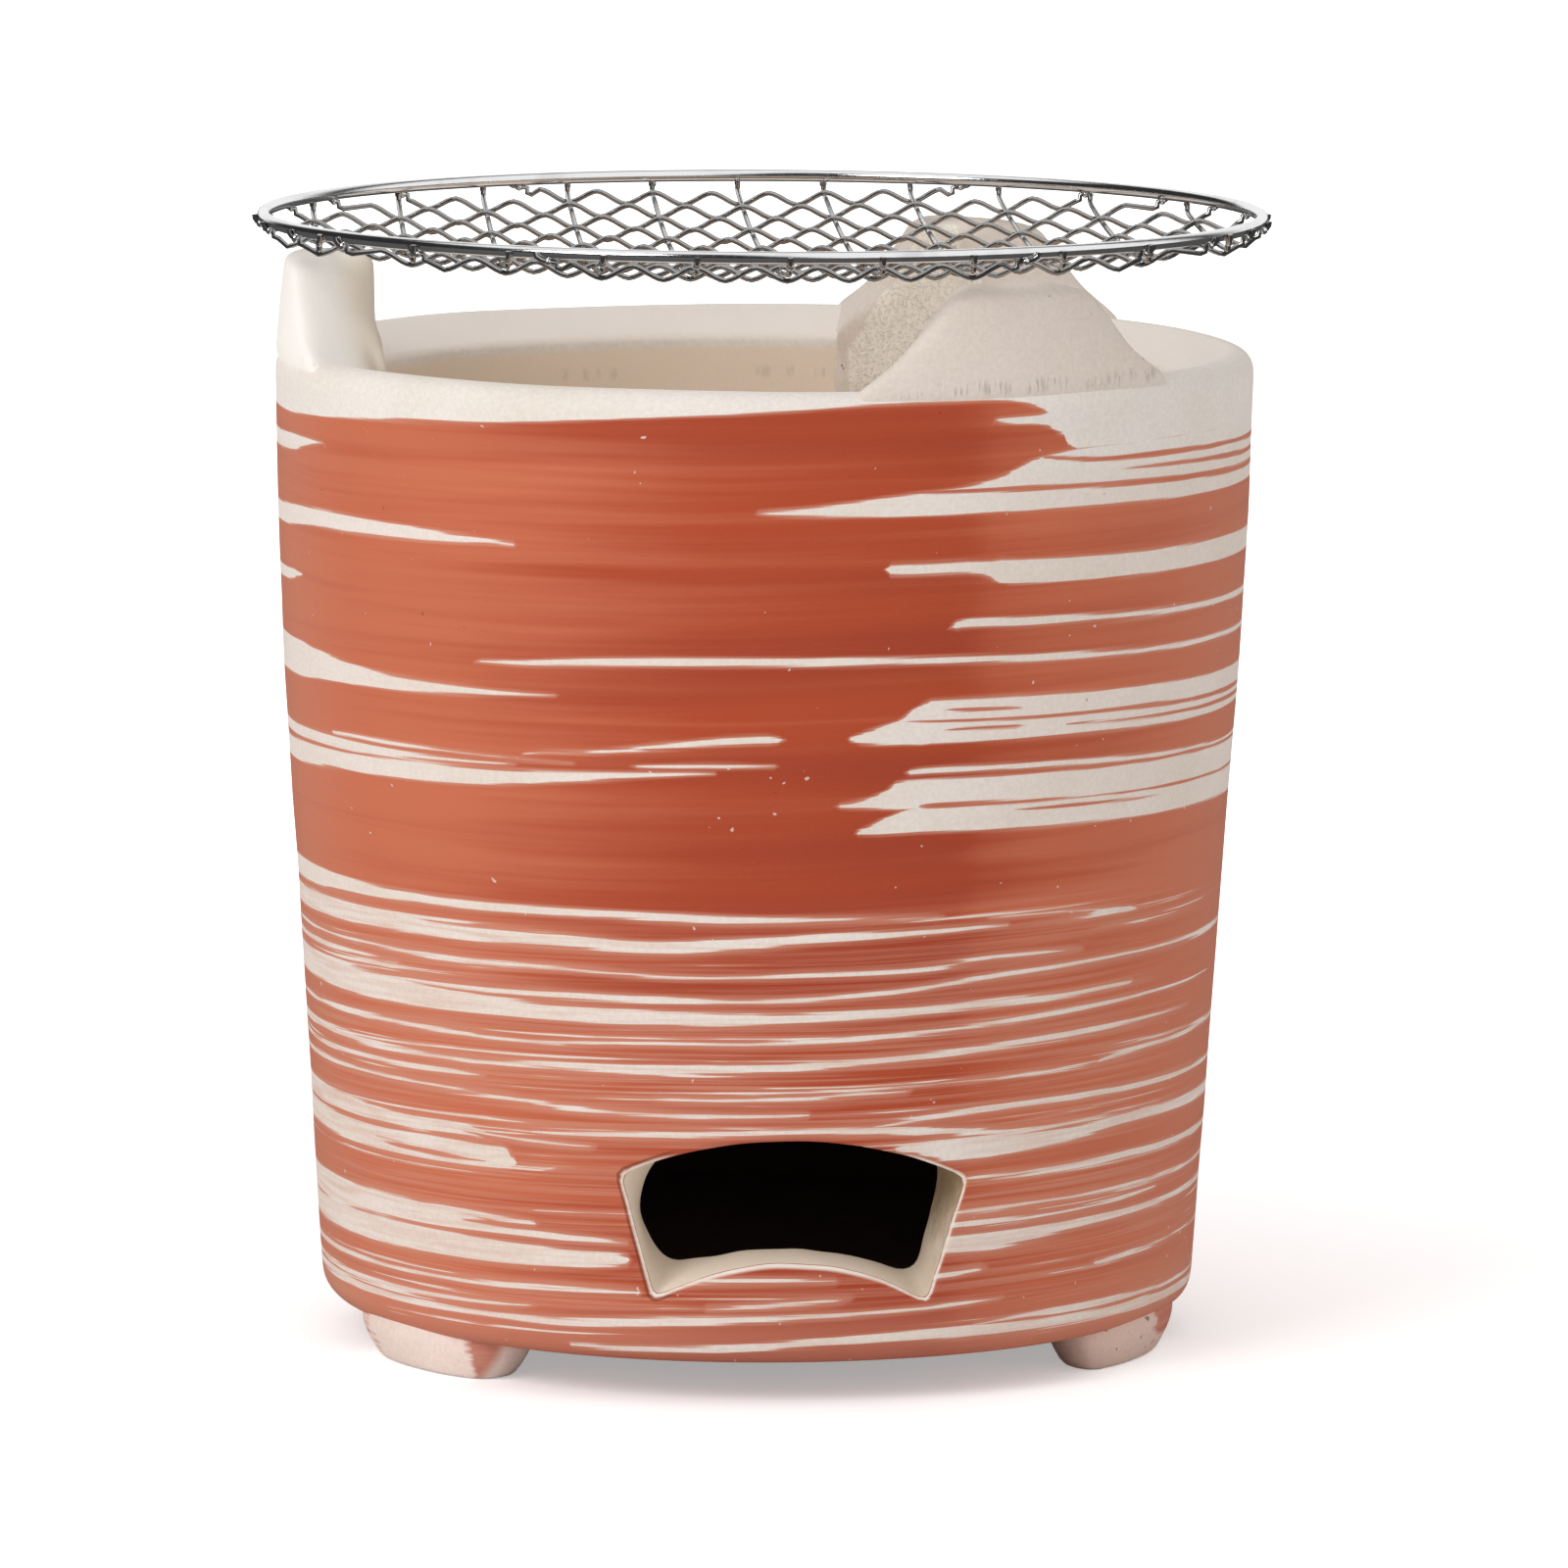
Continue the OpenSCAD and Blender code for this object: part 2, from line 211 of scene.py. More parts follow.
world = bpy.data.worlds.new("pale room")
scene.world = world
world.use_nodes = True
sky = world.node_tree
sky.nodes.clear()
path = outputs_of(sky, "ShaderNodeLightPath")
x, y, z = axes_of(sky, "Generated")
overhead = x.times_plus(-0.3, z).fade(0.86, 0.97)
screen = x.times_plus(1.0, z * 0.35).fade(0.05, 0.3) * y.fade(0.15, 0.5, 1.0, 0.0)
backdrop = y.fade(0.45, 0.8) * x.fade(-0.5, -0.28)
reflected = overhead.most(screen.most(backdrop)).times_plus(MIRRORED_BRIGHT - MIRRORED_DARK, MIRRORED_DARK)
strength = put(sky, "ShaderNodeMix")
feed(sky, strength.inputs[0], path["Is Glossy Ray"].most(path["Is Transmission Ray"]))
feed(sky, strength.inputs[2], ROOM_LIGHT)
feed(sky, strength.inputs[3], reflected)
shine = put(sky, "ShaderNodeBackground")
Signal(sky, strength.outputs[0]).most(path["Is Camera Ray"]).to(shine.inputs["Strength"])
Signal(sky, shine.outputs[0]).to(put(sky, "ShaderNodeOutputWorld").inputs["Surface"])

lamp_data = bpy.data.lights.new("key lamp", "AREA")
lamp_data.shape = "DISK"
lamp_data.size = LAMP_SIZE
lamp_data.energy = LAMP_POWER
lamp_data.color = LAMP_COLOUR
lamp = bpy.data.objects.new("key_lamp", lamp_data)
lamp.location = LAMP_PLACE
lamp.rotation_euler = (STOVE_MIDDLE - lamp.location).to_track_quat("-Z", "Y").to_euler()
scene.collection.objects.link(lamp)
print("room", ROOM_LIGHT, "and a lamp of", LAMP_POWER, "W")

# %% [markdown]
# The floor is a wide white sheet. For the camera it only gets more white, fully so away from the
# pot, so it keeps the pot's shadow and has no horizon. Mirrors see it dark, so the underside of the
# net's rods reads as metal.

# %% The floor
FLOOR_HALF = 25.0
FLOOR_WHITE = (0.93, 0.93, 0.93)
FLOOR_MIRRORED = (0.10, 0.10, 0.10)
GLOW_NEAR = 0.36
GLOW_FULL_AT = 0.95

floor_mesh = bpy.data.meshes.new("floor")
sheet = bmesh.new()
bmesh.ops.create_grid(sheet, x_segments=2, y_segments=2, size=FLOOR_HALF)
sheet.to_mesh(floor_mesh)
sheet.free()
floor = bpy.data.objects.new("floor", floor_mesh)
scene.collection.objects.link(floor)
paper = bpy.data.materials.new("white floor")
paper.use_nodes = True
tree = paper.node_tree
cover = tree.nodes["Principled BSDF"]
seen_by = outputs_of(tree, "ShaderNodeLightPath")
seen_by["Is Glossy Ray"].blend(FLOOR_WHITE, FLOOR_MIRRORED).to(cover.inputs["Base Color"])
cover.inputs["Roughness"].default_value = 0.9
cover.inputs["Specular IOR Level"].default_value = 0.0
cover.inputs["Emission Color"].default_value = (1.0, 1.0, 1.0, 1.0)
from_pot = put(tree, "ShaderNodeVectorMath", operation="LENGTH")
outputs_of(tree, "ShaderNodeTexCoord")["Object"].to(from_pot.inputs[0])
glow = Signal(tree, from_pot.outputs["Value"]).fade(0.05, GLOW_FULL_AT, GLOW_NEAR, 1.0)
(seen_by["Is Camera Ray"] * glow).to(cover.inputs["Emission Strength"])
floor_mesh.materials.append(paper)
print("floor", round(floor.dimensions.x), "m wide")

# %% [markdown]
# The pot's sizes are repeated here in metres, because the dressed pieces must lie on the solids. The
# wall is a shallow curve from the base to the widest place under the rim. A few short functions give
# its radius at any height, outside and inside, and every clay piece is placed by them.

# %% Sizes of the clay pot
MM = 0.001
WALL = 20.5 * MM
UNDERSIDE = 9.5 * MM
ROUND_TOP = 15.5 * MM
RIM_LOW = 232.0 * MM
RIM_TOP = 237.0 * MM
POT_FLOOR = 23.0 * MM
CORNER = 6.0 * MM

def held(value):
    """The value, held between 0 and 1."""
    return min(1.0, max(0.0, value))

def smooth(t):
    """A smooth step of a value from 0 to 1."""
    return t * t * (3.0 - 2.0 * t)

def outer_r(z):
    """Radius of the outside of the wall at a height."""
    t = held((z - ROUND_TOP) / (RIM_LOW - ROUND_TOP))
    return (104.5 + 12.5 * t + math.sin(math.pi * t * t)) * MM

def inner_r(z):
    """Radius of the inside of the wall at a height, with the rounded corner at the pot's floor."""
    r = outer_r(z) - WALL
    under = POT_FLOOR + CORNER - z
    if under > 0.0:
        r = inner_r(POT_FLOOR + CORNER) - CORNER + math.sqrt(max(0.0, CORNER ** 2 - under ** 2))
    return r

def arc(centre_r, centre_z, radius, start, end, steps):
    """Points (r, z) along an arc, with angles in degrees."""
    turns = [math.radians(start + (end - start) * i / steps) for i in range(steps + 1)]
    return [(centre_r + radius * math.cos(a), centre_z + radius * math.sin(a)) for a in turns]

def rows(low, high, count):
    """Evenly spaced heights from low to high, both included."""
    return [low + (high - low) * i / count for i in range(count + 1)]

def door_turn(x, y):
    """Degrees round the pot from the middle of the air door."""
    return math.degrees(math.atan2(x, -y))

def around(turn, r, z):
    """The point at that many degrees round the pot from the door."""
    a = math.radians(turn)
    return Vector((r * math.sin(a), -r * math.cos(a), z))

def new_object(name, bm):
    """An object at the origin from a bmesh, smooth shaded."""
    mesh = bpy.data.meshes.new(name)
    for face in bm.faces:
        face.smooth = True
    bm.to_mesh(mesh)
    bm.free()
    made = bpy.data.objects.new(name, mesh)
    scene.collection.objects.link(made)
    return made

def hand_over(obj, node, body):
    """Hides the frame's node that a piece replaces and puts the piece on the body it rides on."""
    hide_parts(node)
    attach(obj, body)

def clay_piece(name, bm, node):
    """A piece of the pot that is softened by one level of Subdivision Surface."""
    made = new_object(name, bm)
    modifier = made.modifiers.new("soften", "SUBSURF")
    modifier.levels = 1
    modifier.render_levels = 1
    hand_over(made, node, "root")
    return made

def turn_round(bm, steps, apart):
    """Spins what is drawn a full turn round the pot's axis and closes the seam."""
    about = {"axis": (0.0, 0.0, 1.0), "cent": (0.0, 0.0, 0.0), "angle": 2.0 * math.pi}
    bmesh.ops.spin(bm, geom=bm.verts[:] + bm.edges[:], steps=steps, use_merge=True, **about)
    bmesh.ops.remove_doubles(bm, verts=bm.verts[:], dist=apart)
    bmesh.ops.recalc_face_normals(bm, faces=bm.faces[:])

def flat_block(bm, columns, across, layers):
    """A grid pushed out to a block one metre high and cut into layers."""
    bmesh.ops.create_grid(bm, x_segments=columns, y_segments=across, size=0.5)
    pushed = bmesh.ops.extrude_face_region(bm, geom=bm.faces[:])["geom"]
    raised = [made for made in pushed if isinstance(made, bmesh.types.BMVert)]
    bmesh.ops.translate(bm, verts=raised, vec=(0.0, 0.0, 1.0))
    through = [e for e in bm.edges if abs(e.verts[0].co.z - e.verts[1].co.z) > 0.5]
    bmesh.ops.subdivide_edges(bm, edges=through, cuts=layers - 1, use_grid_fill=True)

print("wall radius", *rounded((outer_r(ROUND_TOP), outer_r(RIM_LOW))), "at the base and under the rim")

# %% [markdown]
# The air door is cut through the wall with a wire: two flat sides that lean in towards the inside,
# and arched edges above and below. Its outline is found for any radius of the wall: where the side
# planes and the two arcs meet the outside, and again where they meet the inside. The whole cut leans
# a little to the right, because it was made by hand.

# %% The air door's outline
DOOR_LOW = 24.6 * MM
DOOR_HIGH = 53.6 * MM
DOOR_RISE = 9.4 * MM
DOOR_HALF_LOW = 31.5 * MM
DOOR_HALF_HIGH = 40.0 * MM
DOOR_SPLAY = math.tan(math.radians(14.5))
DOOR_TILT = math.radians(1.3)
WIDER_INSIDE = {1: (3.6 * MM, 0.3 * MM), -1: (2.4 * MM, 1.8 * MM)}
DOOR_MIDDLE = (DOOR_LOW + DOOR_HIGH + DOOR_RISE) / 2.0
SIDE_TURN = math.radians(16.0)
SIDE_LEAN = (DOOR_HALF_HIGH - DOOR_HALF_LOW) / (DOOR_HIGH - DOOR_LOW) / math.cos(SIDE_TURN)
CORNER_Y = -math.sqrt(outer_r(DOOR_LOW) ** 2 - DOOR_HALF_LOW ** 2)

def door_arch(x, corner_z, half):
    """Height of an arched edge of the door at a distance from its middle."""
    disc = (half ** 2 + DOOR_RISE ** 2) / (2.0 * DOOR_RISE)
    return corner_z + DOOR_RISE - disc + math.sqrt(max(0.0, disc ** 2 - x ** 2))

def door_side(wall_r, z):
    """Distance of the door's side from its middle, where it meets a wall of that radius."""
    x = DOOR_HALF_LOW
    for _ in range(6):
        y = -math.sqrt(wall_r(z) ** 2 - x ** 2)
        x = DOOR_HALF_LOW - DOOR_SPLAY * (y - CORNER_Y) + SIDE_LEAN * (z - DOOR_LOW)
    return x

def door_corner(wall_r, edge_z, half):
    """Place (x, z) where the door's side meets an arched edge."""
    z = edge_z
    for _ in range(6):
        x = door_side(wall_r, z)
        z = door_arch(x, edge_z, half)
    return x, z

def door_point(wall_r, u, v):
    """A place on the door's outline: u from -1 to 1 across and v from 0 to 1 up, one of them at its end."""
    low_x, low_z = door_corner(wall_r, DOOR_LOW, DOOR_HALF_LOW)
    high_x, high_z = door_corner(wall_r, DOOR_HIGH, DOOR_HALF_HIGH)
    if abs(u) > 0.999:
        z = low_z + (high_z - low_z) * v
        x = math.copysign(door_side(wall_r, z), u)
    elif v < 0.001:
        x = u * low_x
        z = door_arch(x, DOOR_LOW, DOOR_HALF_LOW)
    else:
        x = u * high_x
        z = door_arch(x, DOOR_HIGH, DOOR_HALF_HIGH)
    if wall_r is inner_r:
        below, atop = WIDER_INSIDE[1 if x > 0.0 else -1]
        t = (z - DOOR_LOW) / (DOOR_HIGH + DOOR_RISE - DOOR_LOW)
        x += x / low_x * (below + (atop - below) * t)
    off = z - DOOR_MIDDLE
    lean, rise = math.sin(DOOR_TILT), math.cos(DOOR_TILT)
    return x * rise + off * lean, DOOR_MIDDLE + off * rise - x * lean

for label, wall_r in (("outside", outer_r), ("inside", inner_r)):
    corners = [door_point(wall_r, u, v) for u in (-1, 1) for v in (0, 1)]
    print("door corners", label, "at", [tuple(round(c / MM, 1) for c in corner) for corner in corners])

# %% [markdown]
# The body was thrown or pressed as one thick pot, and its ledge for the grate was left standing
# inside. A spin makes it as the wheel did: half a section is drawn once, from under the base, up the
# outside, over the rim, down the inside and over the ledge to the middle of the floor, and turned
# round the axis. The rows and columns are planned so that the door falls on whole faces.

# %% Turn the pot
COLUMNS = 160
DOOR_COLUMNS = 8
HOLE_TURN = DOOR_COLUMNS * 360.0 / COLUMNS
DOOR_ROWS = 9
LEDGE_R = 78.95 * MM
LEDGE_Z = 0.109
RIM_SLOPE = 24.3
RIM_ROUND = 5.0 * MM
INNER_ROUND = 3.0 * MM
MOUTH_Z = 228.55 * MM

outside = [(r * MM, UNDERSIDE) for r in (0.0, 25.0, 50.0, 75.0, 92.0)]
outside += arc(outer_r(ROUND_TOP) - CORNER, ROUND_TOP, CORNER, -90.0, 0.0, 5)
outside += [(outer_r(z), z) for z in rows(ROUND_TOP, DOOR_LOW, 3)[1:]]
outside += [(outer_r(z), z) for z in rows(DOOR_LOW, DOOR_HIGH, DOOR_ROWS)[1:]]
outside += [(outer_r(z), z) for z in rows(DOOR_HIGH, RIM_LOW, 50)[1:]]
outside += arc(outer_r(RIM_LOW) - RIM_ROUND, RIM_LOW, RIM_ROUND, 0.0, 90.0 + RIM_SLOPE, 6)[1:]
outside += [(106.0 * MM, 234.8 * MM), (102.0 * MM, 233.0 * MM)]
outside += arc(99.5 * MM, MOUTH_Z, INNER_ROUND, 90.0 + RIM_SLOPE, 180.0, 4)
inside = [(inner_r(z), z) for z in rows(226.0 * MM, 113.0 * MM, 20)]
inside += [(inner_r(0.1096), 0.1096), (inner_r(LEDGE_Z) - 0.6 * MM, LEDGE_Z)]
inside += [(83.0 * MM, LEDGE_Z), (79.6 * MM, LEDGE_Z), (LEDGE_R, 0.1084), (LEDGE_R, 0.1046)]
inside += [(79.2 * MM, 0.1037), (82.0 * MM, 0.0977)]
inside += [(inner_r(0.093) - 0.5 * MM, 0.0936), (inner_r(0.0915), 0.0915)]
inside += [(inner_r(z), z) for z in rows(0.088, DOOR_HIGH, 9)]
inside += [(inner_r(z), z) for z in rows(DOOR_HIGH, DOOR_LOW, DOOR_ROWS)[1:]]
inside += [(inner_r(z), z) for z in (24.05 * MM, 23.5 * MM, 23.12 * MM)]
inside += [(r * MM, POT_FLOOR) for r in (77.6, 60.0, 40.0, 20.0, 0.0)]

pot = bmesh.new()
drawn = [pot.verts.new((0.0, r, z)) for r, z in outside + inside]
for first, second in zip(drawn, drawn[1:]):
    pot.edges.new((first, second))
turn_round(pot, COLUMNS, 0.02 * MM)
print("pot turned:", len(pot.verts), "points and", len(pot.faces), "faces")

# %% [markdown]
# The door is opened by taking out the planned faces of both skins. The points round the square hole
# are then pulled onto the door's outline and the clay near them follows, less and less with distance,
# so the mesh stays even.

# %% Open the air door
def on_outer_skin(x, y, z):
    """True on the outside of the wall, false inside."""
    return math.hypot(x, y) > outer_r(z) - WALL / 2.0

def pull_to_door(x, y, z):
    """New place of a point of either skin, pulled towards the door's outline if it is near."""
    outer = on_outer_skin(x, y, z)
    wall_r = outer_r if outer else inner_r
    turn = door_turn(x, y)
    sideways = (abs(turn) - HOLE_TURN) * math.radians(1.0) * wall_r(z)
    down_reach = (DOOR_LOW - ROUND_TOP) if outer else 1.6 * MM
    pull = 1.0
    for away, reach in ((sideways, 22.0 * MM), (z - DOOR_HIGH, 34.0 * MM), (DOOR_LOW - z, down_reach)):
        pull *= smooth(1.0 - held(away / reach))
    if pull <= 0.0:
        return Vector((x, y, z))
    u = min(1.0, max(-1.0, turn / HOLE_TURN))
    v = held((z - DOOR_LOW) / (DOOR_HIGH - DOOR_LOW))
    to_x, to_z = door_point(wall_r, u, v)
    to_turn = math.degrees(math.asin(to_x / wall_r(to_z)))
    from_z = DOOR_LOW + v * (DOOR_HIGH - DOOR_LOW)
    new_z = z + (to_z - from_z) * pull
    new_turn = turn + (to_turn - u * HOLE_TURN) * pull
    return around(new_turn, wall_r(new_z), new_z)

def near_door(co, degrees, low, high, inmost):
    """True for a place of the wall near the door."""
    return abs(door_turn(co.x, co.y)) < degrees and low < co.z < high and co.xy.length > inmost

crease = pot.edges.layers.float.new("crease_edge")
hole = [f for f in pot.faces if near_door(f.calc_center_median(), HOLE_TURN, DOOR_LOW, DOOR_HIGH, 0.08)]
bmesh.ops.delete(pot, geom=hole, context="FACES")
for point in pot.verts:
    if near_door(point.co, 45.0, 0.016, 0.09, 0.0785):
        point.co = pull_to_door(*point.co)
lips = [edge for edge in pot.edges if edge.is_boundary]
print("door opened:", len(hole), "faces out,", len(lips), "edges of lip")

# %% [markdown]
# Clay was smeared into the inner corners on the left, so those are eased most. A bridge then joins
# the two openings, as the wire's cut through the wall does. Its first and last rows of points lie
# close to the lips, and the lips are creased, so that softening leaves them sharp.

# %% Cut through the wall
def off_rung(co, start, end):
    """How far a place lies off the straight line between two others."""
    return (co - start).length + (co - end).length - (end - start).length

CUT_ROWS = (0.03, 0.2, 0.5, 0.8, 0.97)
LIP_CREASE = 0.55
SMEAR_REACH = 13.0 * MM
SMEARED = {(-1, 0): 7, (-1, 1): 24, (1, 0): 1, (1, 1): 2}
inner_lip = {point for edge in lips for point in edge.verts if not on_outer_skin(*point.co)}
for step in range(max(SMEARED.values())):
    eased = {}
    for point in inner_lip:
        beside = [e.other_vert(point) for e in point.link_edges if e.is_boundary]
        middle = (beside[0].co + beside[1].co) / 2.0
        quarter = (1 if point.co.x > 0.0 else -1, 1 if point.co.z > DOOR_MIDDLE else 0)
        corner_x, corner_z = door_point(inner_r, *quarter)
        from_corner = math.hypot(point.co.x - corner_x, point.co.z - corner_z)
        amount = 0.6 * math.exp(-(from_corner / SMEAR_REACH) ** 2) if step < SMEARED[quarter] else 0.0
        eased[point] = point.co.lerp(middle, amount)
    for point, co in eased.items():
        point.co = around(door_turn(co.x, co.y), inner_r(co.z), co.z)
bridge = bmesh.ops.bridge_loops(pot, edges=lips)
rungs = []
for edge in bridge["edges"]:
    rungs.append(sorted((point.co.copy() for point in edge.verts), key=lambda co: -co.xy.length))
divided = bmesh.ops.subdivide_edges(pot, edges=bridge["edges"], cuts=len(CUT_ROWS), use_grid_fill=False)
cut_points = [made for made in divided["geom_inner"] if isinstance(made, bmesh.types.BMVert)]
for point in cut_points:
    start, end = min(rungs, key=lambda rung: off_rung(point.co, *rung))
    share = (point.co - start).length / (end - start).length
    point.co = start.lerp(end, CUT_ROWS[round(share * (len(CUT_ROWS) + 1)) - 1])
bmesh.ops.recalc_face_normals(pot, faces=pot.faces[:])
for edge in lips:
    edge[crease] = LIP_CREASE
cut_places = {tuple(round(c, 6) for c in point.co) for point in cut_points}
lip_places = {tuple(round(c, 6) for c in point.co) for edge in lips for point in edge.verts}
still_open = sum(edge.is_boundary for edge in pot.edges)
print("door cut:", len(bridge["faces"]), "faces bridged, open edges left:", still_open)

# %% [markdown]
# A hand-made pot isn't a perfect solid of revolution. Slow waves of about half a millimetre, taken
# from a noise that needs no seam, push the skin in and out. The left of the pot is drawn in a little
# more under the rim. Point attributes then mark the outer skin, where the slip was brushed on, the
# cut faces of the door, which stay bare like the inside, and the lip, where the wire left a burr.

# %% Hand-made unevenness and the skin that gets slip
def lumps(point, size, depth):
    """A slow push in or out, from a smooth noise with lumps of that size."""
    return depth * noise.noise(point / size)

def drawn_in(turn, z):
    """How far the left of the pot is drawn in under the rim."""
    return math.exp(-((turn + 85.0) / 35.0) ** 2) * held((z - 0.13) / 0.05) * 0.9 * MM

slipped = pot.verts.layers.float.new("slipped")
cut_face = pot.verts.layers.float.new("cut_face")
burr_line = pot.verts.layers.float.new("burr")
for point in pot.verts:
    x, y, z = point.co
    r = point.co.xy.length
    at_place = tuple(round(c, 6) for c in point.co)
    at_lip = at_place in lip_places
    if at_place in cut_places:
        point[cut_face] = 1.0
    elif r > outer_r(z) - 0.35 * MM or z > RIM_LOW or (z < ROUND_TOP and r > 0.02):
        point[slipped] = 1.0
    if at_lip and point[slipped] > 0.5:
        point[burr_line] = 1.0
        point.co += Vector((x, y, 0.0)) / r * (0.25 * MM + lumps(point.co, 0.006, 0.4 * MM))
    turn = door_turn(x, y)
    push = lumps(point.co, 0.07, 0.7 * MM) + lumps(point.co + Vector((1.0, 2.0, 3.0)), 0.022, 0.22 * MM)
    if at_lip or point[cut_face] > 0.5:
        torn = (0.7 if r < inner_r(z) + 2.0 * MM else 0.35) * MM
        upwards = lumps(point.co + Vector((3.0, 1.0, 0.0)), 0.004, torn)
        point.co += Vector((lumps(point.co, 0.004, torn), 0.0, upwards))
    if r > 0.01 and z > UNDERSIDE + 0.1 * MM:
        point.co += Vector((x, y, 0.0)) / r * (push - drawn_in(turn, z))
    if z > RIM_LOW:
        point.co.z += lumps(point.co + Vector((5.0, 0.0, 0.0)), 0.05, 0.5 * MM)
stove_body = clay_piece("clay_body", pot, "stove_body")
print("body:", len(stove_body.data.polygons), "faces before softening")

# %% [markdown]
# The pot lugs are lumps of clay luted over the rim, one a little right of the door and the others a
# third of a turn on. Each starts as a flat grid, pushed out to a block and cut into small faces. The
# block is then bent round the rim: its sides lean in and spread at the foot like pressed clay, its
# outside carries on the wall, and a tongue of it runs down the inside. A light smoothing rounds what
# fingers would round.

# %% Model the pot lugs
EVERY_WAY = {"use_axis_x": True, "use_axis_y": True, "use_axis_z": True}
LUG_TOP = 260.0 * MM
LUG_TOP_HALF = 21.6 * MM
LUG_TALL = 20.0 * MM
LUG_WIDEST_HALF = 45.0 * MM
TONGUE_HALF = 24.0 * MM
LUG_OUT = 116.6 * MM
LUG_IN = 93.2 * MM
LUG_TURNS = {"front": 28.0, "back": 148.0, "left": 268.0}
SKIRT_END = 211.5 * MM

def lug_half(z, b):
    """Half the width of a lug at a height, for b from 0 on its inner face to 1 on its outer face."""
    above_rim = z - RIM_TOP + 6.5 * MM * (1.0 - b)
    half = LUG_TOP_HALF + (LUG_TALL - above_rim) * 1.02
    half += 0.12 * MM * max(0.0, 9.0 - above_rim / MM) ** 1.5
    half = min(half, LUG_WIDEST_HALF) * (1.0 - 0.34 * (1.0 - b))
    t = held((MOUTH_Z + 7.0 * MM - z) / (10.0 * MM))
    inward = max(0.0, 1.0 - b / 0.15)
    return half + inward * (TONGUE_HALF - half) * smooth(t)

def lug_point(a, b, c):
    """A lug's point: a from -1 to 1 along the rim, b from 0 inside to 1 outside, c from 0 up to 1."""
    across = 2.0 * b - 1.0
    low = SKIRT_END if b < 0.01 else 226.0 * MM + 5.5 * MM * held((b - 0.2) / 0.8)
    z = low + (LUG_TOP - low) * c
    if z > RIM_TOP:
        square = 7.0 if across > 0.0 else 4.0
        reach = (abs(a) ** square + abs(across) ** square) ** (1.0 / square)
        ease = max(abs(a), abs(across)) / reach if reach > 0.0 else 1.0
        amount = min(1.0, (z - RIM_TOP) / (6.0 * MM))
        a *= 1.0 + (ease - 1.0) * amount
        across *= 1.0 + (ease - 1.0) * amount
    s = a * lug_half(z, b)
    outer = LUG_OUT - 2.6 * MM * max(0.0, (z - RIM_TOP) / (23.0 * MM))
    if z < 233.5 * MM:
        outer = LUG_OUT - 1.6 * MM
    wall_in = inner_r(min(z, MOUTH_Z)) + 0.4 * MM
    feather = held((1.0 - abs(a)) / 0.25) * held((z - SKIRT_END) / (7.0 * MM))
    inner = LUG_IN + (wall_in - LUG_IN) * (1.0 - feather) if z < MOUTH_Z else LUG_IN
    r = (inner + outer) / 2.0 + across * (outer - inner) / 2.0
    z -= 1.6 * MM * held((c - 0.9) / 0.1) * (abs(a) ** 5 + abs(across) ** 5)
    return s, r, z

for name, lug_turn in LUG_TURNS.items():
    lump = bmesh.new()
    rough = lump.verts.layers.float.new("rough")
    flat_block(lump, 26, 18, 7)
    for point in lump.verts:
        s, r, z = lug_point(2.0 * point.co.x, point.co.z, point.co.y + 0.5)
        if name == "back" and s > 0.0:
            narrow = held((LUG_TOP + 3.0 * MM - z) / (8.0 * MM))
            spread = held((RIM_TOP - z) / (9.0 * MM)) * max(0.0, 1.0 - point.co.z / 0.3)
            s *= 1.0 - 0.16 * narrow + 0.36 * spread
        in_reach = abs(s) < 15.0 * MM + (241.0 * MM - z) * 0.6
        point[rough] = 1.0 if r < LUG_IN + 1.2 * MM and in_reach else 0.0
        point.co = around(lug_turn + math.degrees(math.asin(s / r)), r, z)
    for _ in range(2):
        bmesh.ops.smooth_vert(lump, verts=lump.verts[:], factor=0.5, **EVERY_WAY)
    bmesh.ops.recalc_face_normals(lump, faces=lump.faces[:])
    for point in lump.verts:
        outwards = Vector((point.co.x, point.co.y, 0.0)).normalized()
        point.co += outwards * (lumps(point.co, 0.03, 0.5 * MM) + lumps(point.co, 0.009, 0.15 * MM))
        point.co -= outwards * drawn_in(door_turn(point.co.x, point.co.y), point.co.z)
        if point.co.z > RIM_TOP:
            point.co.z += lumps(point.co + Vector((7.0, 0.0, 0.0)), 0.02, 0.5 * MM)
    pot_lug = clay_piece("clay_lug_" + name, lump, "pot_lug_" + name)

# %% [markdown]
# The feet are sausages of clay pressed on under the edge of the base, so they are a little wider
# where they meet the pot and flat where they stand. They are made like the lugs, from a grid pushed
# out to a block, and bent round under the wall. A thumb pressed one end of the right foot thinner.

# %% Model the feet
FOOT_TOP = 12.5 * MM
FOOT_MIDDLE = 90.5 * MM
FOOT_HALF_LONG = 28.0 * MM
FOOT_HALF_WIDE = 12.0 * MM
FOOT_TURNS = {"right": 61.5, "back": 180.0, "left": 300.0}

def foot_point(a, b, c, thumbed):
    """A foot's point: a along the wall and b across it from -1 to 1, c from 0 below up to 1."""
    z = FOOT_TOP * c
    tuck = max(0.0, 1.0 - z / (9.0 * MM)) ** 1.5
    half_long = FOOT_HALF_LONG - 5.5 * MM * tuck
    half_wide = FOOT_HALF_WIDE - 3.6 * MM * tuck
    reach = (abs(a) ** 3 + abs(b) ** 3) ** (1.0 / 3.0)
    top = max(abs(a), abs(b))
    ease = top / reach if reach > 0.0 else 1.0
    a *= ease
    b *= ease
    thumb = thumbed * max(0.0, -a - 0.2) ** 2 / 0.64
    r = FOOT_MIDDLE + (b + thumb * (0.45 - 0.45 * b)) * half_wide
    return a * half_long + 4.0 * MM * thumb, r, z

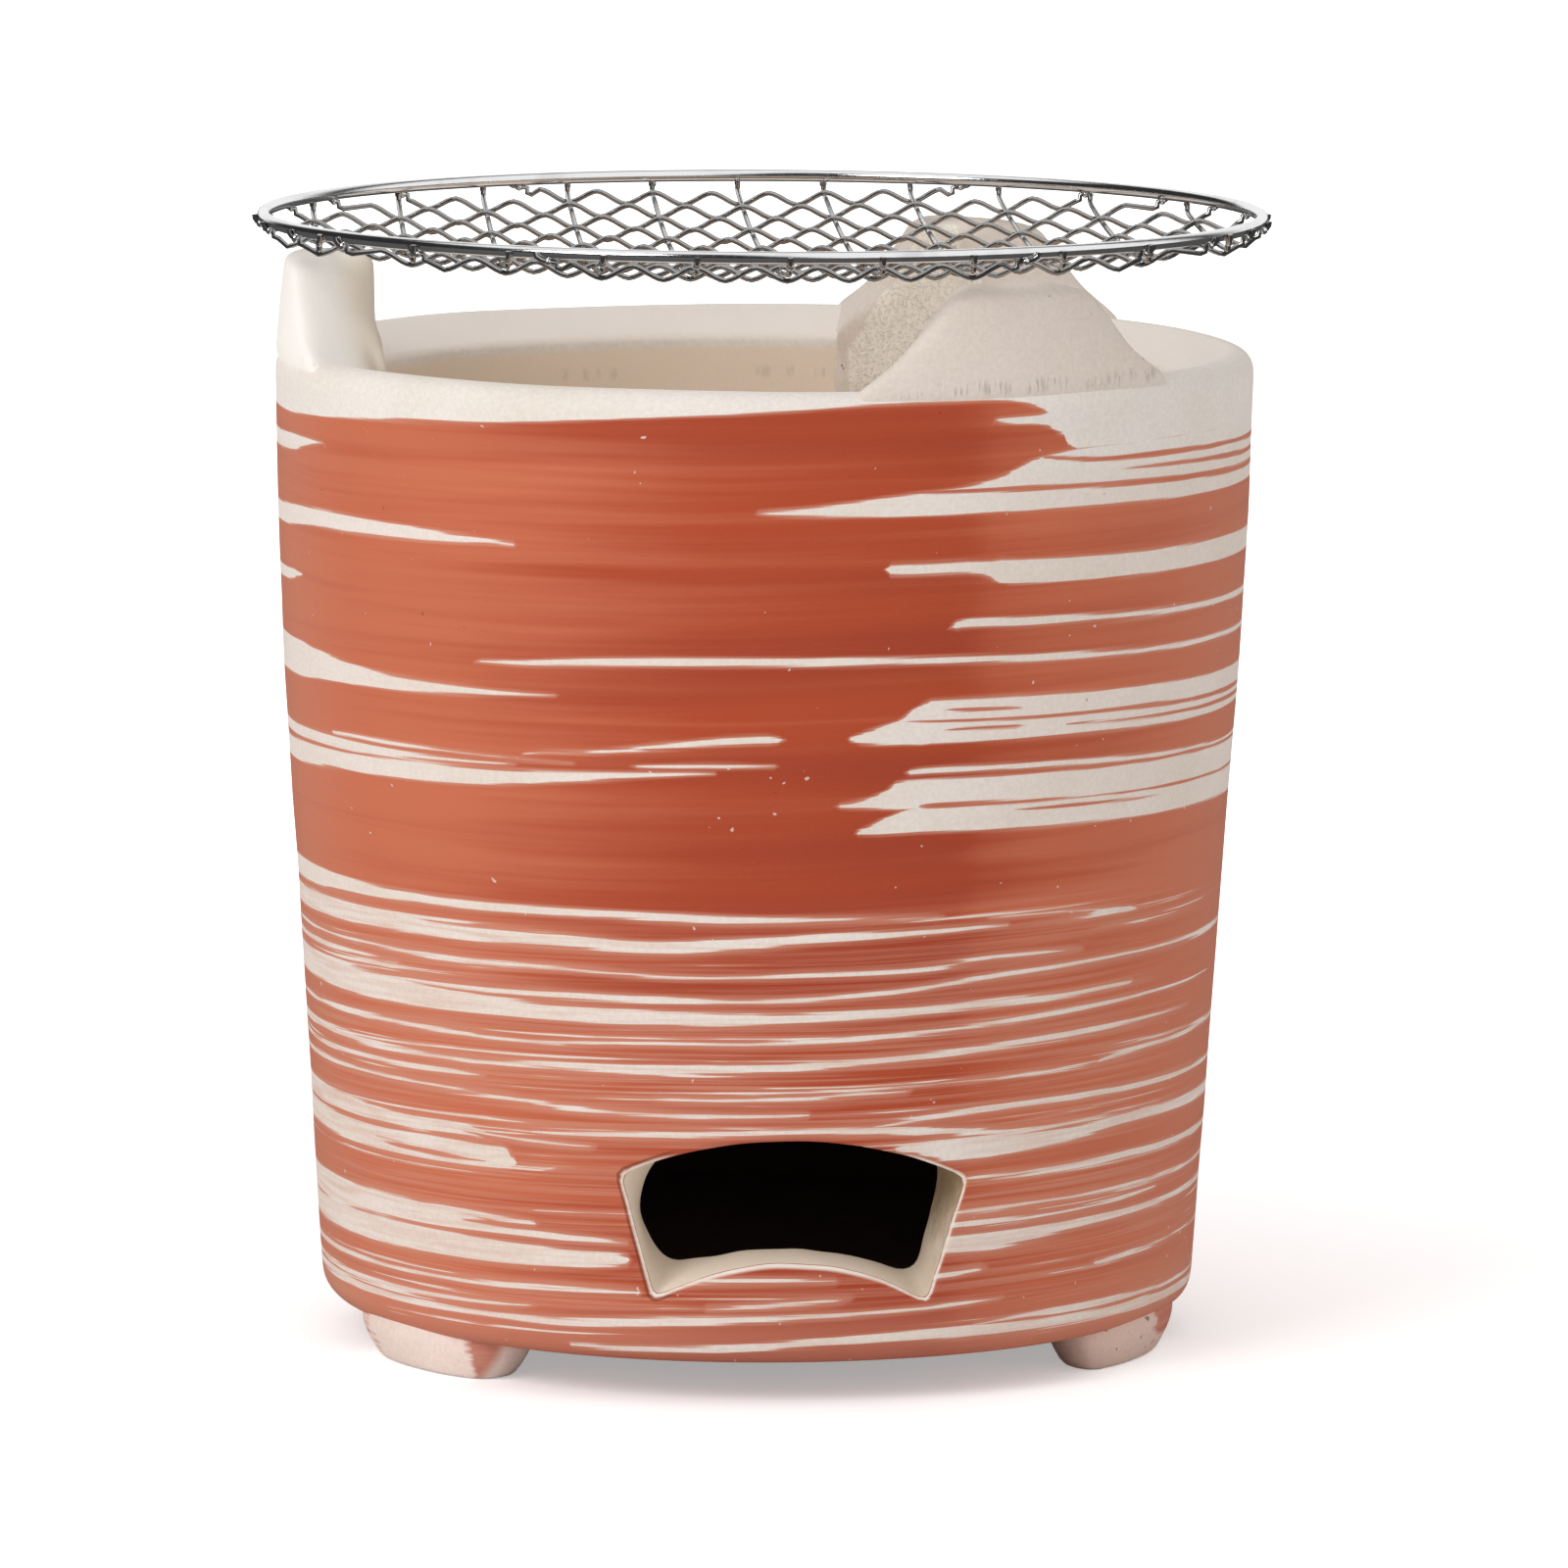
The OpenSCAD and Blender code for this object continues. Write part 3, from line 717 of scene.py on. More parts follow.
for name, foot_turn in FOOT_TURNS.items():
    lump = bmesh.new()
    flat_block(lump, 20, 10, 7)
    thumbed = 1.0 if name == "right" else 0.0
    for point in lump.verts:
        s, r, z = foot_point(2.0 * point.co.x, 2.0 * point.co.y, point.co.z, thumbed)
        uneven = 0.0 if z < 0.5 * MM else 1.0
        r += uneven * lumps(Vector((s, r, z)) + Vector((foot_turn, 0.0, 0.0)), 0.02, 0.6 * MM)
        point.co = around(foot_turn + math.degrees(s / FOOT_MIDDLE), r, z)
    bmesh.ops.recalc_face_normals(lump, faces=lump.faces[:])
    clay_foot = clay_piece("clay_foot_" + name, lump, "foot_" + name)
    print("foot", name, "faces", len(clay_foot.data.polygons))

# %% [markdown]
# The net is a ring of bright rod with wires welded under it. The ring is a small circle spun round
# the axis, as a rod is bent round a former, and carries a bead of weld at each wire's end. The wires
# are thin curves given a round section. The straight ones hang in a shallow dish, and the crimped
# ones run in even waves over one straight wire and under the next. All ends turn up round the
# outside of the ring.

# %% Sizes of the net
RING_R = 118.5 * MM
RING_Z = 268.03 * MM
ROD = 1.5 * MM
WIRE = 0.65 * MM
PITCH = 21.2 * MM
HALF_WAVE = 7.067 * MM
CRIMP = 1.499 * MM
END_RUN = 2.6 * MM
STRAIGHT_END_RUN = 3.0 * MM
HANG = 3.8 * MM
SAG = 5.5 * MM
NET_TURN = math.radians(-1.5)
WIRES = range(1, 12)
MIDDLE_WIRE = 6
BOWS = {"straight": 0.0, "crimped": 40.0}

def dish(r):
    """Height of the net's middle surface at a distance from the axis."""
    return RING_Z - HANG - SAG * (1.0 - (r / RING_R) ** 2)

def half_chord(offset):
    """Half the length of a wire that passes the axis at that distance, out to the ring's middle."""
    return math.sqrt(RING_R ** 2 - offset ** 2)

def wire_end(offset, side):
    """Points (along, z) of a wire's end: out under the ring, up, and round the outside of its rod."""
    out = half_chord(offset)
    slant = RING_R / out
    low = dish(RING_R)
    hook = ROD + WIRE * 0.9
    points = [(out - 1.5 * MM, low + 0.05 * MM), (out - 0.35 * MM, low + 0.5 * MM)]
    for degrees in (-95.0, -70.0, -45.0, -20.0, 5.0):
        a = math.radians(degrees)
        points.append((out + hook * slant * math.cos(a), RING_Z + hook * math.sin(a)))
    return [(side * along, z) for along, z in points]

def wire_line(offset, row, crimped):
    """All points (along, z) of one wire, from end to end."""
    out = half_chord(offset)
    if crimped:
        step = HALF_WAVE / 6.0
        span = int((out - END_RUN) / HALF_WAVE) * 6
    else:
        step = PITCH / 6.0
        span = int((out - STRAIGHT_END_RUN) / step)
    middle = []
    for n in range(-span, span + 1):
        along = n * step
        z = dish(math.hypot(along, offset))
        if crimped:
            phase = math.cos(math.pi * along / HALF_WAVE)
            sharp = math.asin(phase) / (math.pi / 2.0)
            z += CRIMP * (0.72 * phase + 0.28 * sharp) * (1.0 if row % 2 == 0 else -1.0)
        middle.append((along, z))
    return wire_end(offset, -1.0)[::-1] + middle + wire_end(offset, 1.0)

def net_place(x, y, z):
    """A point of the net, turned a little as the net lies."""
    c, s = math.cos(NET_TURN), math.sin(NET_TURN)
    return Vector((x * c - y * s, x * s + y * c, z))

def on_wire(kind, offset, along, z):
    """A point of a wire: straight wires run front to back, crimped ones from side to side."""
    return net_place(offset, along, z) if kind == "straight" else net_place(along, offset, z)

print("net ring", round(2.0 * (RING_R + ROD), 4), "m across, wires every", PITCH)

# %% Bend the wires
wire_objects = []
for kind in BOWS:
    for number in WIRES:
        offset = (number - MIDDLE_WIRE) * PITCH
        line = wire_line(offset, number, kind == "crimped")
        curve = bpy.data.curves.new("net_%s_%d" % (kind, number), "CURVE")
        curve.dimensions = "3D"
        curve.bevel_depth = WIRE
        curve.bevel_resolution = 2
        curve.use_fill_caps = True
        spline = curve.splines.new("POLY")
        spline.points.add(len(line) - 1)
        for point, (along, z) in zip(spline.points, line):
            bow = 0.25 * MM * noise.noise(Vector((along * 9.0, number * 1.7, BOWS[kind])))
            point.co = (*on_wire(kind, offset + bow, along, z), 1.0)
        spline.use_smooth = True
        drawn_wire = bpy.data.objects.new(curve.name, curve)
        bent = bpy.data.objects.new(curve.name, bpy.data.meshes.new_from_object(drawn_wire))
        bpy.data.objects.remove(drawn_wire)
        bent.name = "net_%s_%d" % (kind, number)
        scene.collection.objects.link(bent)
        hand_over(bent, "%s_wire_%d" % (kind, number), "net")
        wire_objects.append(bent)
print("wires bent:", len(wire_objects))

# %% Spin the ring and add the beads of weld
ring = bmesh.new()
upright = Matrix.Translation((RING_R, 0.0, RING_Z)) @ Matrix.Rotation(math.pi / 2.0, 4, "X")
bmesh.ops.create_circle(ring, cap_ends=False, segments=20, radius=ROD, matrix=upright)
turn_round(ring, 180, 0.01 * MM)
for kind in BOWS:
    for number in WIRES:
        offset = (number - MIDDLE_WIRE) * PITCH
        for side in (-1.0, 1.0):
            along, z = wire_end(offset, side)[3]
            where = on_wire(kind, offset, along, z)
            size = ROD * (0.62 + 0.2 * noise.noise(Vector((number * 3.1, side, along * 50.0))))
            bmesh.ops.create_icosphere(ring, subdivisions=2, radius=size, matrix=Matrix.Translation(where))
net_ring = new_object("net_rim", ring)
hand_over(net_ring, "net_ring", "net")
print("ring:", len(net_ring.data.polygons), "faces with its beads")

# %% [markdown]
# The finishes are built from small node groups that several clays share. The first group gives a
# place on the pot: the turn from the door in degrees, the height in millimetres, and the height
# along the brush's path, which climbs a little to the right and wanders.

# %% Group: the place on the pot
def new_group(name, given, made):
    """A shader group, its inputs as signals and its output sockets. A tuple starts a colour."""
    group = bpy.data.node_groups.new(name, "ShaderNodeTree")
    for label, start in given.items():
        colour = isinstance(start, tuple)
        kind = "NodeSocketColor" if colour else "NodeSocketFloat"
        socket = group.interface.new_socket(name=label, in_out="INPUT", socket_type=kind)
        socket.default_value = (*start, 1.0) if colour else start
    for label in made:
        kind = "NodeSocketColor" if label == "Color" else "NodeSocketFloat"
        group.interface.new_socket(name=label, in_out="OUTPUT", socket_type=kind)
    return group, outputs_of(group, "NodeGroupInput"), put(group, "NodeGroupOutput").inputs

def use_group(tree, group, **given):
    """The outputs of a group that is placed in a tree with its own values."""
    made = put(tree, "ShaderNodeGroup", node_tree=group)
    for label, value in given.items():
        feed(tree, made.inputs[label], value)
    return {socket.name: Signal(tree, socket) for socket in made.outputs}

def place_of(tree):
    """The place that is shaded."""
    return outputs_of(tree, "ShaderNodeTexCoord")["Object"]

def stretched(tree, sideways, upwards, height=None):
    """The place scaled sideways and upwards, with the height replaced if it is given."""
    x, y, z = axes_of(tree)
    joined = put(tree, "ShaderNodeCombineXYZ")
    for socket, value in zip(joined.inputs, (x * sideways, y * sideways, (height or z) * upwards)):
        value.to(socket)
    return Signal(tree, joined.outputs[0])

def from_axis(x, y):
    """Distance from the pot's axis."""
    return (x.by("POWER", 2.0) + y.by("POWER", 2.0)).by("SQRT")

place_group, given, out = new_group("place on the pot", {}, ("Turn", "Height", "Brush height"))
x, y, z = axes_of(place_group)
(x.by("ARCTAN2", y * -1.0) * (180.0 / math.pi)).to(out["Turn"])
height = z * 1000.0
height.to(out["Height"])
wander = stretched(place_group, 9.0, 14.0).noise(1.0, 1.0)
(x.times_plus(-21.0, height) + (wander - 0.5) * 3.0).to(out["Brush height"])

print("group:", place_group.name, "with", len(place_group.nodes), "nodes")

# %% [markdown]
# The second group is the clay's own surface: a pale body with faint warm clouds, a fine grain and
# scattered pits. Pits gather in patches, as they do where grog lies in the clay.

# %% Group: bare clay
BARE_CLAY = {"Clay": (0.8, 0.74, 0.65), "Warm": (0.72, 0.6, 0.47), "Pits": 0.5}
clay_group, given, out = new_group("bare clay", BARE_CLAY, ("Color", "Relief"))
here = place_of(clay_group)
clouds = here.noise(22.0, 3.0, 0.6).fade(0.38, 0.72)
grain = here.noise(900.0, 2.0, 0.6)
speckle = here.noise(420.0, 2.0, 0.5)
patches = here.noise(30.0, 2.0, 0.5).fade(0.45, 0.7)
pit = (speckle - (0.80 - patches * given["Pits"] * 0.22)).fade(0.0, 0.05)
tinted = (clouds * 0.45).blend(given["Clay"], given["Warm"])
grained = put(clay_group, "ShaderNodeMix", data_type="RGBA", blend_type="MULTIPLY")
grained.inputs[0].default_value = 1.0
tinted.to(grained.inputs[6])
shade = grain.fade(0.25, 0.75, 0.94, 1.03)
tone = put(clay_group, "ShaderNodeCombineXYZ")
for socket in tone.inputs:
    shade.to(socket)
Signal(clay_group, tone.outputs[0]).to(grained.inputs[7])
(pit * 0.75).blend(Signal(clay_group, grained.outputs[2]), (0.16, 0.12, 0.09)).to(out["Color"])
((grain - 0.5) * 0.10 - pit * 0.45).to(out["Relief"])

print("group:", clay_group.name, "with", len(clay_group.nodes), "nodes")

# %% [markdown]
# The third group is the brush: streaks that run round the pot, long and thin. The same noise is
# stretched four ways, from single bristles to the broad bands of the whole brush.

# %% Group: bristle streaks
bristle_group, given, out = new_group("bristle streaks", {"Height": 0.0}, ("Fine", "Broad", "Bands", "Fleck"))
STREAKS = {
    "Fleck": (40.0, 0.85, 2.0, 0.6),
    "Fine": (9.0, 0.95, 3.0, 0.65),
    "Broad": (7.0, 0.28, 2.0, 0.55),
    "Bands": (5.0, 0.075, 1.0, 0.5),
}
for label, (sideways, upwards, detail, rough) in STREAKS.items():
    stretched(bristle_group, sideways, upwards, given["Height"]).noise(1.0, detail, rough).to(out[label])
print("groups:", [g.name for g in bpy.data.node_groups])

# %% [markdown]
# The slip is the pot's face. A wide brush dipped in red slip went round the pot on a wheel: it left
# solid colour in front, ragged bare wedges where the brush ran dry on the left, and bare bands with
# pulled-out ends on the right. Below, the brush was nearly dry and left many thin streaks. Each bare
# gap is written down as a brush mark: a few places along it with the turn from the door in degrees,
# the height and the width in millimetres. A curve carries the height along the mark and another its
# width, and the group keeps the deepest gap found so far. The red marks are streaks of slip that
# were left standing inside the gaps, and are laid in the same way. The group also hands on the turn,
# so the marks are worked out one after another, which a renderer with a short memory needs.

# %% The brush marks
BARE_MARKS = (
    ((-150, 216, 0), (-79, 217, 3.8), (-74, 217.6, 2.6), (-70, 218.2, 1.2), (-66, 218.4, 0)),
    ((-140, 198, 3), (-80, 199.4, 5), (-70, 200.6, 4), (-60, 200.8, 3.6), (-50, 200.9, 2.8),
     (-42, 200.9, 1.8), (-38, 200.9, 0.8), (-33, 200.5, 0)),
    ((-120, 184, 2), (-80, 185.4, 2.4), (-77, 185.8, 1.2), (-74, 186, 0)),
    ((-160, 166, 4), (-80, 165.8, 9.4), (-72, 165.8, 7.6), (-62, 165.6, 4.6), (-52, 165.3, 2.8),
     (-42, 165.5, 1.9), (-35, 165.7, 1.1), (-28, 166, 0)),
    ((-40, 172.2, 0), (-34, 172.8, 0.7), (-27, 173.8, 1.5), (-19, 174.5, 2), (-2, 175, 1.9), (14, 174.9, 1.5),
     (30, 174.1, 1.2), (50, 173.3, 1), (75, 172.8, 1.4), (130, 171, 0)),
    ((-140, 148, 2), (-80, 148.3, 2.6), (-65, 148.4, 2.2), (-52, 148.6, 1.4), (-42, 148.9, 0.8),
     (-34, 149.2, 0)),
    ((-150, 142, 3), (-80, 143.4, 5), (-65, 144.4, 4.4), (-50, 145.3, 4), (-38, 145.9, 3.2), (-28, 147, 2.3),
     (-18, 148.2, 1.3), (-9.5, 149, 0)),
    ((-68, 150.6, 0), (-60, 151, 0.9), (-46, 150.9, 0.7), (-36, 150.7, 0.6), (-26, 150.6, 0)),
    ((-34, 151.4, 0), (-24, 153.4, 0.6), (-14, 155.6, 1), (-6, 156.8, 1.6), (-2.5, 157, 1.6), (-1.5, 157, 0)),
    ((-20, 150.4, 0), (-14, 150.8, 0.7), (-6, 151, 0.5), (-2, 151, 0)),
    ((-5.5, 209.6, 0), (0, 209.8, 1.4), (6, 210.4, 2.8), (10, 210.9, 4.2), (16, 211.4, 5.4), (22, 212.4, 7.2),
     (30, 215, 12.4), (40, 215.6, 14.2), (75, 215, 14.6), (140, 213, 8), (170, 213, 0)),
    ((22, 229.9, 0), (25, 229.6, 1.2), (29, 229.4, 2.2), (34, 229, 8)),
    ((9, 196.2, 0), (10.5, 196.2, 2.6), (19, 196.3, 2.6), (22, 195.8, 3), (24.5, 194.7, 5.4),
     (72, 193.5, 5.4), (130, 191, 5), (165, 190, 0)),
    ((17, 182, 0), (20, 183, 1.9), (26, 182.7, 2), (40, 182, 1.4), (73, 181, 1.5), (120, 180, 0)),
    ((5.5, 157, 0), (8, 157.4, 3), (11, 158.2, 5), (13, 159.2, 7.2), (15.5, 160.5, 10), (30, 160.4, 10.2),
     (71, 159.2, 9.8), (130, 158, 7), (160, 158, 0)),
    ((3.5, 141.6, 0), (7, 141.8, 1.6), (10, 142.6, 3.8), (12, 143.7, 6.4), (20, 143.7, 7), (40, 143.2, 7),
     (70, 142.4, 7), (135, 140, 6), (165, 139, 0)),
    ((6, 135, 0), (8, 135.4, 1.4), (11.5, 137, 4.6), (14, 137.8, 6), (20, 137.7, 6.2), (40, 137.3, 6.4),
     (70, 136.5, 6.6), (135, 135, 5), (165, 135, 0)),
    ((12, 148.6, 0), (15, 149, 1.1), (30, 148.7, 1.1), (50, 147.8, 1), (75, 146.8, 1), (110, 146, 0)),
    ((-150, 114, 2), (-79, 114.2, 5), (-62, 114.4, 3.2), (-45, 114.7, 2.4), (-24, 115.1, 1.9),
     (-6, 114.8, 1.4), (8, 115, 0.7), (18, 115, 0)),
    ((24, 114, 0), (30, 114, 1.1), (43, 112.6, 1.2), (48, 112, 0)),
    ((-150, 107, 3), (-79, 108, 5), (-62, 108.2, 4.4), (-45, 108, 3.8), (-30, 108.3, 3.4), (-18, 107.8, 2.6),
     (-6, 109.2, 2.6), (4, 110.6, 2.2), (14, 111.3, 1.4), (27, 111.8, 0)),
    ((37, 107, 0), (42, 108, 0.9), (50, 108.4, 0)),
    ((-110, 101.6, 0.9), (-60, 101.6, 0.9), (-42, 101.4, 1.4), (-30, 102, 0.9), (-14, 101.2, 1),
     (2, 102, 0.8), (16, 102.8, 1), (26, 104.4, 1), (38, 104.2, 0)),
    ((-110, 98.8, 1.2), (-79, 98.9, 1.6), (-64, 98.8, 1), (-54, 98.6, 0)),
    ((-110, 95, 1), (-45, 95.4, 1.2), (-24, 95.7, 1.8), (-6, 95.7, 1.3), (6, 96.6, 1.1), (14, 98, 1),
     (24, 99.8, 1.1), (36, 100.8, 1.3), (60, 101.4, 1.1), (76, 101.3, 1), (110, 101, 0)),
    ((-155, 92.5, 5), (-79, 92.6, 6.6), (-60, 92.2, 6), (-48, 92, 5), (-36, 91.5, 3.8), (-20, 91.3, 3.4),
     (-8, 91.4, 2.6), (4, 92, 1.8), (14, 92.8, 1.8), (24, 93.6, 1.7), (34, 93.8, 1.1), (48, 94.6, 0)),
    ((-110, 84, 0.9), (-72, 84.2, 1.1), (-50, 84.4, 1.2), (-34, 84, 1.2), (-22, 85.4, 1.2), (-6, 85.8, 1),
     (8, 87, 1), (20, 88.5, 1.1), (31, 89.4, 1.6), (42, 90.6, 0.9), (51, 91.1, 0)),
    ((-110, 78, 1.2), (-78, 78.3, 1.8), (-60, 77.9, 1.8), (-44, 78, 1.6), (-30, 79, 1.6), (-14, 79.2, 1.7),
     (0, 80.4, 1.5), (14, 81.9, 1.7), (26, 83.2, 1.3), (40, 84.5, 1.4), (52, 84.8, 1), (64, 85, 0)),
    ((-84, 74.6, 0.6), (-60, 74.6, 0.9), (-46, 74.8, 0.8), (-40, 75, 0)),
    ((-18, 72.5, 0), (-10, 72.7, 0.9), (0, 73.1, 0.9), (8, 73.9, 0.8), (15, 74.3, 0)),
    ((42, 76.6, 0), (48, 77.8, 1.1), (60, 78.4, 1.2), (74, 79, 1.1), (110, 79, 0)),
    ((-110, 70.6, 0.9), (-72, 70.6, 1.1), (-50, 70.9, 1.4), (-38, 70.3, 1.1), (-28, 69.2, 1.1),
     (-10, 68.7, 0.9), (2, 69, 0)),
    ((8, 65.6, 0), (14, 66.8, 1), (22, 68.2, 1.2), (34, 69, 1.2), (56, 69.2, 1.4), (76, 68.8, 1),
     (110, 68, 0)),
    ((-34, 62.8, 0), (-24, 63.4, 1), (-10, 64.4, 1.1), (2, 65.2, 1.4), (10, 65, 1.8), (22, 63.6, 1.3),
     (34, 62.6, 0)),
    ((-150, 58, 8), (-79, 58.5, 11), (-60, 58.3, 10.5), (-48, 57.6, 9), (-43, 57, 7.6), (-38, 56, 4.6),
     (-36, 55.6, 0)),
    ((-58, 61.6, 0), (-50, 62, 2.2), (-44, 61.8, 2), (-40, 60.9, 1.1), (-31, 60.4, 0.9), (-25, 60.4, 0)),
    ((-150, 33, 5), (-79, 33.2, 6.2), (-60, 33.2, 6), (-45, 33.2, 5.6), (-36, 33.2, 5), (-28, 33.4, 3.6),
     (-22.5, 33.9, 2.6), (-20.4, 34, 0)),
    ((-150, 39.5, 4), (-79, 39.4, 6), (-60, 39.8, 6), (-50, 39.6, 5), (-44, 39.3, 3.6), (-36, 38.6, 1.6),
     (-26, 38.3, 1), (-21, 38.2, 0)),
    ((-56, 42, 0), (-48, 41.9, 1.1), (-40, 41.3, 1.2), (-33, 41, 0)),
    ((-110, 25, 1), (-79, 25, 1.4), (-60, 25.2, 1.4), (-44, 25.6, 1.4), (-30, 26.2, 1.4), (-22, 26.4, 1),
     (-19, 26.5, 0)),
    ((-110, 20.6, 1), (-79, 20.6, 1.1), (-55, 20.6, 1.2), (-43, 21, 1), (-34, 21.6, 0)),
    ((-110, 18.6, 2), (-79, 18.4, 2.2), (-60, 18.2, 1.5), (-44, 18.2, 1.1), (-34, 18.2, 1.7),
     (-22, 19.2, 1.7), (-10, 20.4, 1.4), (2, 21.2, 1), (14, 22, 1), (28, 23.4, 0)),
    ((-12, 23.2, 0), (-6, 23.8, 0.9), (2, 24.8, 1), (8, 25.8, 0)),
    ((-17, 28.4, 0.6), (-10, 29.2, 0.8), (-2, 29.6, 0.7), (6, 29.4, 0)),
    ((-30, 13, 0.8), (-12, 13.4, 1.6), (0, 14.7, 1.8), (12, 15.8, 2.6), (20, 16, 3), (32, 15.8, 2.6),
     (45, 15.6, 2.6), (74, 15.4, 2), (130, 16, 0)),
    ((24, 17.8, 0), (34, 18.4, 1), (50, 18.2, 1.4), (66, 18, 1.1), (80, 18, 0)),
    ((12, 60.5, 0), (16, 60.3, 3), (22, 59.6, 4.8), (30, 60, 4), (40, 60.6, 3), (50, 61.6, 2.6),
     (74, 61.4, 3), (120, 60, 2), (150, 60, 0)),
    ((22, 52.4, 0), (27, 52.4, 1), (50, 53, 1.2), (74, 52.6, 0.9), (110, 52, 0)),
    ((19.5, 44.4, 0.7), (26, 44.8, 1.3), (50, 45.4, 1.1), (74, 45.4, 0.9), (110, 45, 0)),
    ((19.5, 41, 1.4), (26, 41.2, 1.6), (34, 41.4, 1.1), (46, 42.2, 0.9), (58, 43, 0)),
    ((18, 37, 4), (24, 37, 4.4), (32, 37.4, 3.4), (42, 38.4, 2), (60, 38.8, 1.6), (75, 39.2, 1.3),
     (120, 39, 0)),
    ((16.5, 29.4, 0), (20, 29.8, 0.9), (26, 30.8, 0)),
    ((43, 28.2, 0), (50, 28.6, 1), (75, 29.6, 0.8), (100, 29.6, 0)),
)
RED_MARKS = (
    ((28, 221, 0), (33, 219.9, 1), (50, 219, 1.1), (73, 218, 1.2), (120, 217, 1), (150, 217, 0)),
    ((40, 216.6, 0), (52, 216.2, 0.7), (73, 215, 0.9), (120, 214, 0)),
    ((12, 213.8, 0), (17, 213.9, 1), (40, 213.4, 1.3), (74, 211.6, 1.2), (130, 211, 0)),
    ((11.5, 161, 0), (18, 160.7, 0.9), (40, 160, 0.9), (74, 158.6, 0.9), (120, 157, 0)),
    ((17, 163.2, 0), (20, 163.1, 0.7), (25, 162.9, 0.6), (28, 162.8, 0)),
    ((17, 158.3, 0), (21, 158.4, 0.8), (25, 158.3, 0.7), (28, 158.2, 0)),
    ((34, 157.6, 0), (50, 157.2, 0.6), (74, 156.4, 0.7), (110, 156, 0)),
    ((14, 140.9, 0), (18, 141, 1.2), (28, 140.8, 1), (38, 140.4, 0.6), (72, 139.4, 0.6), (110, 138.6, 0)),
    ((27, 138.6, 0), (34, 138.4, 0.7), (46, 138, 0.6), (52, 138, 0)),
    ((-150, 104.3, 0), (-79, 104.2, 2.2), (-60, 104.2, 2.4), (-40, 104.4, 2.2), (-20, 104.8, 2), (0, 106, 2),
     (16, 107.4, 3), (24, 108, 4), (60, 106, 5), (76, 106, 5), (110, 106, 0)),
    ((-30, 98.8, 0), (-22, 98.6, 2.4), (-8, 98.7, 2.4), (2, 99.4, 2), (10, 100.2, 0)),
    ((30, 97.5, 0), (46, 97.6, 3.4), (60, 97, 5), (76, 97, 5), (100, 97, 0)),
    ((-79, 86.8, 1.8), (-60, 86.6, 2), (-44, 86.8, 1.6), (-30, 87.6, 1.6), (-14, 88, 2), (0, 89, 2),
     (12, 90, 0)),
    ((-79, 81.6, 2), (-50, 81.6, 2.2), (-36, 81.6, 2), (-22, 82.8, 2.6), (-8, 83.2, 2.4), (4, 84, 2.4),
     (18, 85.8, 2.2), (30, 87, 2.4), (46, 88, 2.2), (60, 88, 3), (76, 88, 4), (100, 88, 0)),
    ((-34, 75.8, 0), (-30, 75.6, 2), (-14, 76, 2.4), (0, 76.8, 2.6), (10, 77.6, 2.6), (24, 78.6, 3),
     (36, 80.4, 2.6), (44, 81.6, 2), (76, 82, 2), (100, 82, 0)),
    ((34, 74, 0), (40, 73.6, 3.4), (60, 73.6, 5), (76, 73.6, 4), (100, 74, 0)),
    ((-79, 66.6, 3), (-60, 66.8, 4), (-48, 67.2, 3), (-36, 66.4, 4), (-24, 66, 2.6), (-12, 66.6, 2),
     (0, 67.4, 1), (6, 67.6, 0)),
    ((-79, 59.2, 0.4), (-72, 59, 0.8), (-62, 58.7, 1), (-52, 58.8, 0.8), (-46, 59.2, 1.3), (-40, 58.9, 1),
     (-36, 58.8, 0)),
    ((-62, 55.5, 0), (-52, 55.2, 1), (-46, 54.8, 0.9), (-40, 54.8, 0)),
    ((-79, 47.5, 8), (-60, 47.2, 8), (-45, 47, 8.4), (-36, 47.4, 9), (-32, 49.5, 10), (-24, 51.6, 11),
     (-19, 51, 10), (-15, 50, 6), (-10, 50, 0)),
    ((-73, 36.3, 0), (-66, 36.6, 0.8), (-50, 37, 0.9), (-38, 37.4, 1.1), (-28, 37, 1.3), (-22, 36.6, 1),
     (-20, 36.6, 0)),
    ((-46, 40, 0), (-42, 40, 0.9), (-36, 40, 1.4), (-30, 40, 1), (-26, 40, 0)),
    ((-79, 28.4, 2), (-40, 28.6, 2), (-24, 30, 2), (-20, 30, 0)),
    ((22, 55.4, 2.6), (40, 56.4, 3), (60, 57, 3), (76, 57, 2.4), (100, 57, 0)),
    ((22, 49.2, 4), (40, 49.2, 3.6), (60, 49.4, 3), (76, 49, 2.4), (100, 49, 0)),
    ((20, 33, 2.4), (30, 32.8, 3.4), (45, 33, 3.6), (60, 33, 2), (74, 33, 0)),
    ((18, 26, 4), (30, 25.8, 6), (42, 24, 6), (60, 23.6, 5), (76, 23.6, 4), (100, 23, 0)),
)
SLIP_TOP = (
    (-180, 224), (-79, 224), (-60, 226.2), (-49, 227.4), (-38, 227.9), (-29, 229), (-15, 231.2), (-2, 233),
    (9, 234.4), (21, 234.6), (27, 233.2), (30, 230.6), (32, 226), (33, 222), (75, 222), (110, 224),
    (180, 224),
)
SLIP_TONE = (
    (-180, 0.6), (-80, 0.95), (-55, 0.9), (-35, 0.66), (-18, 0.34), (0, 0.08), (14, 0.04), (18, 0.1),
    (24, 0.5), (45, 0.85), (80, 1.0), (180, 0.6),
)
HIGHEST = 250.0
WIDEST = 20.0
print("brush marks:", len(BARE_MARKS), "bare,", len(RED_MARKS), "red")

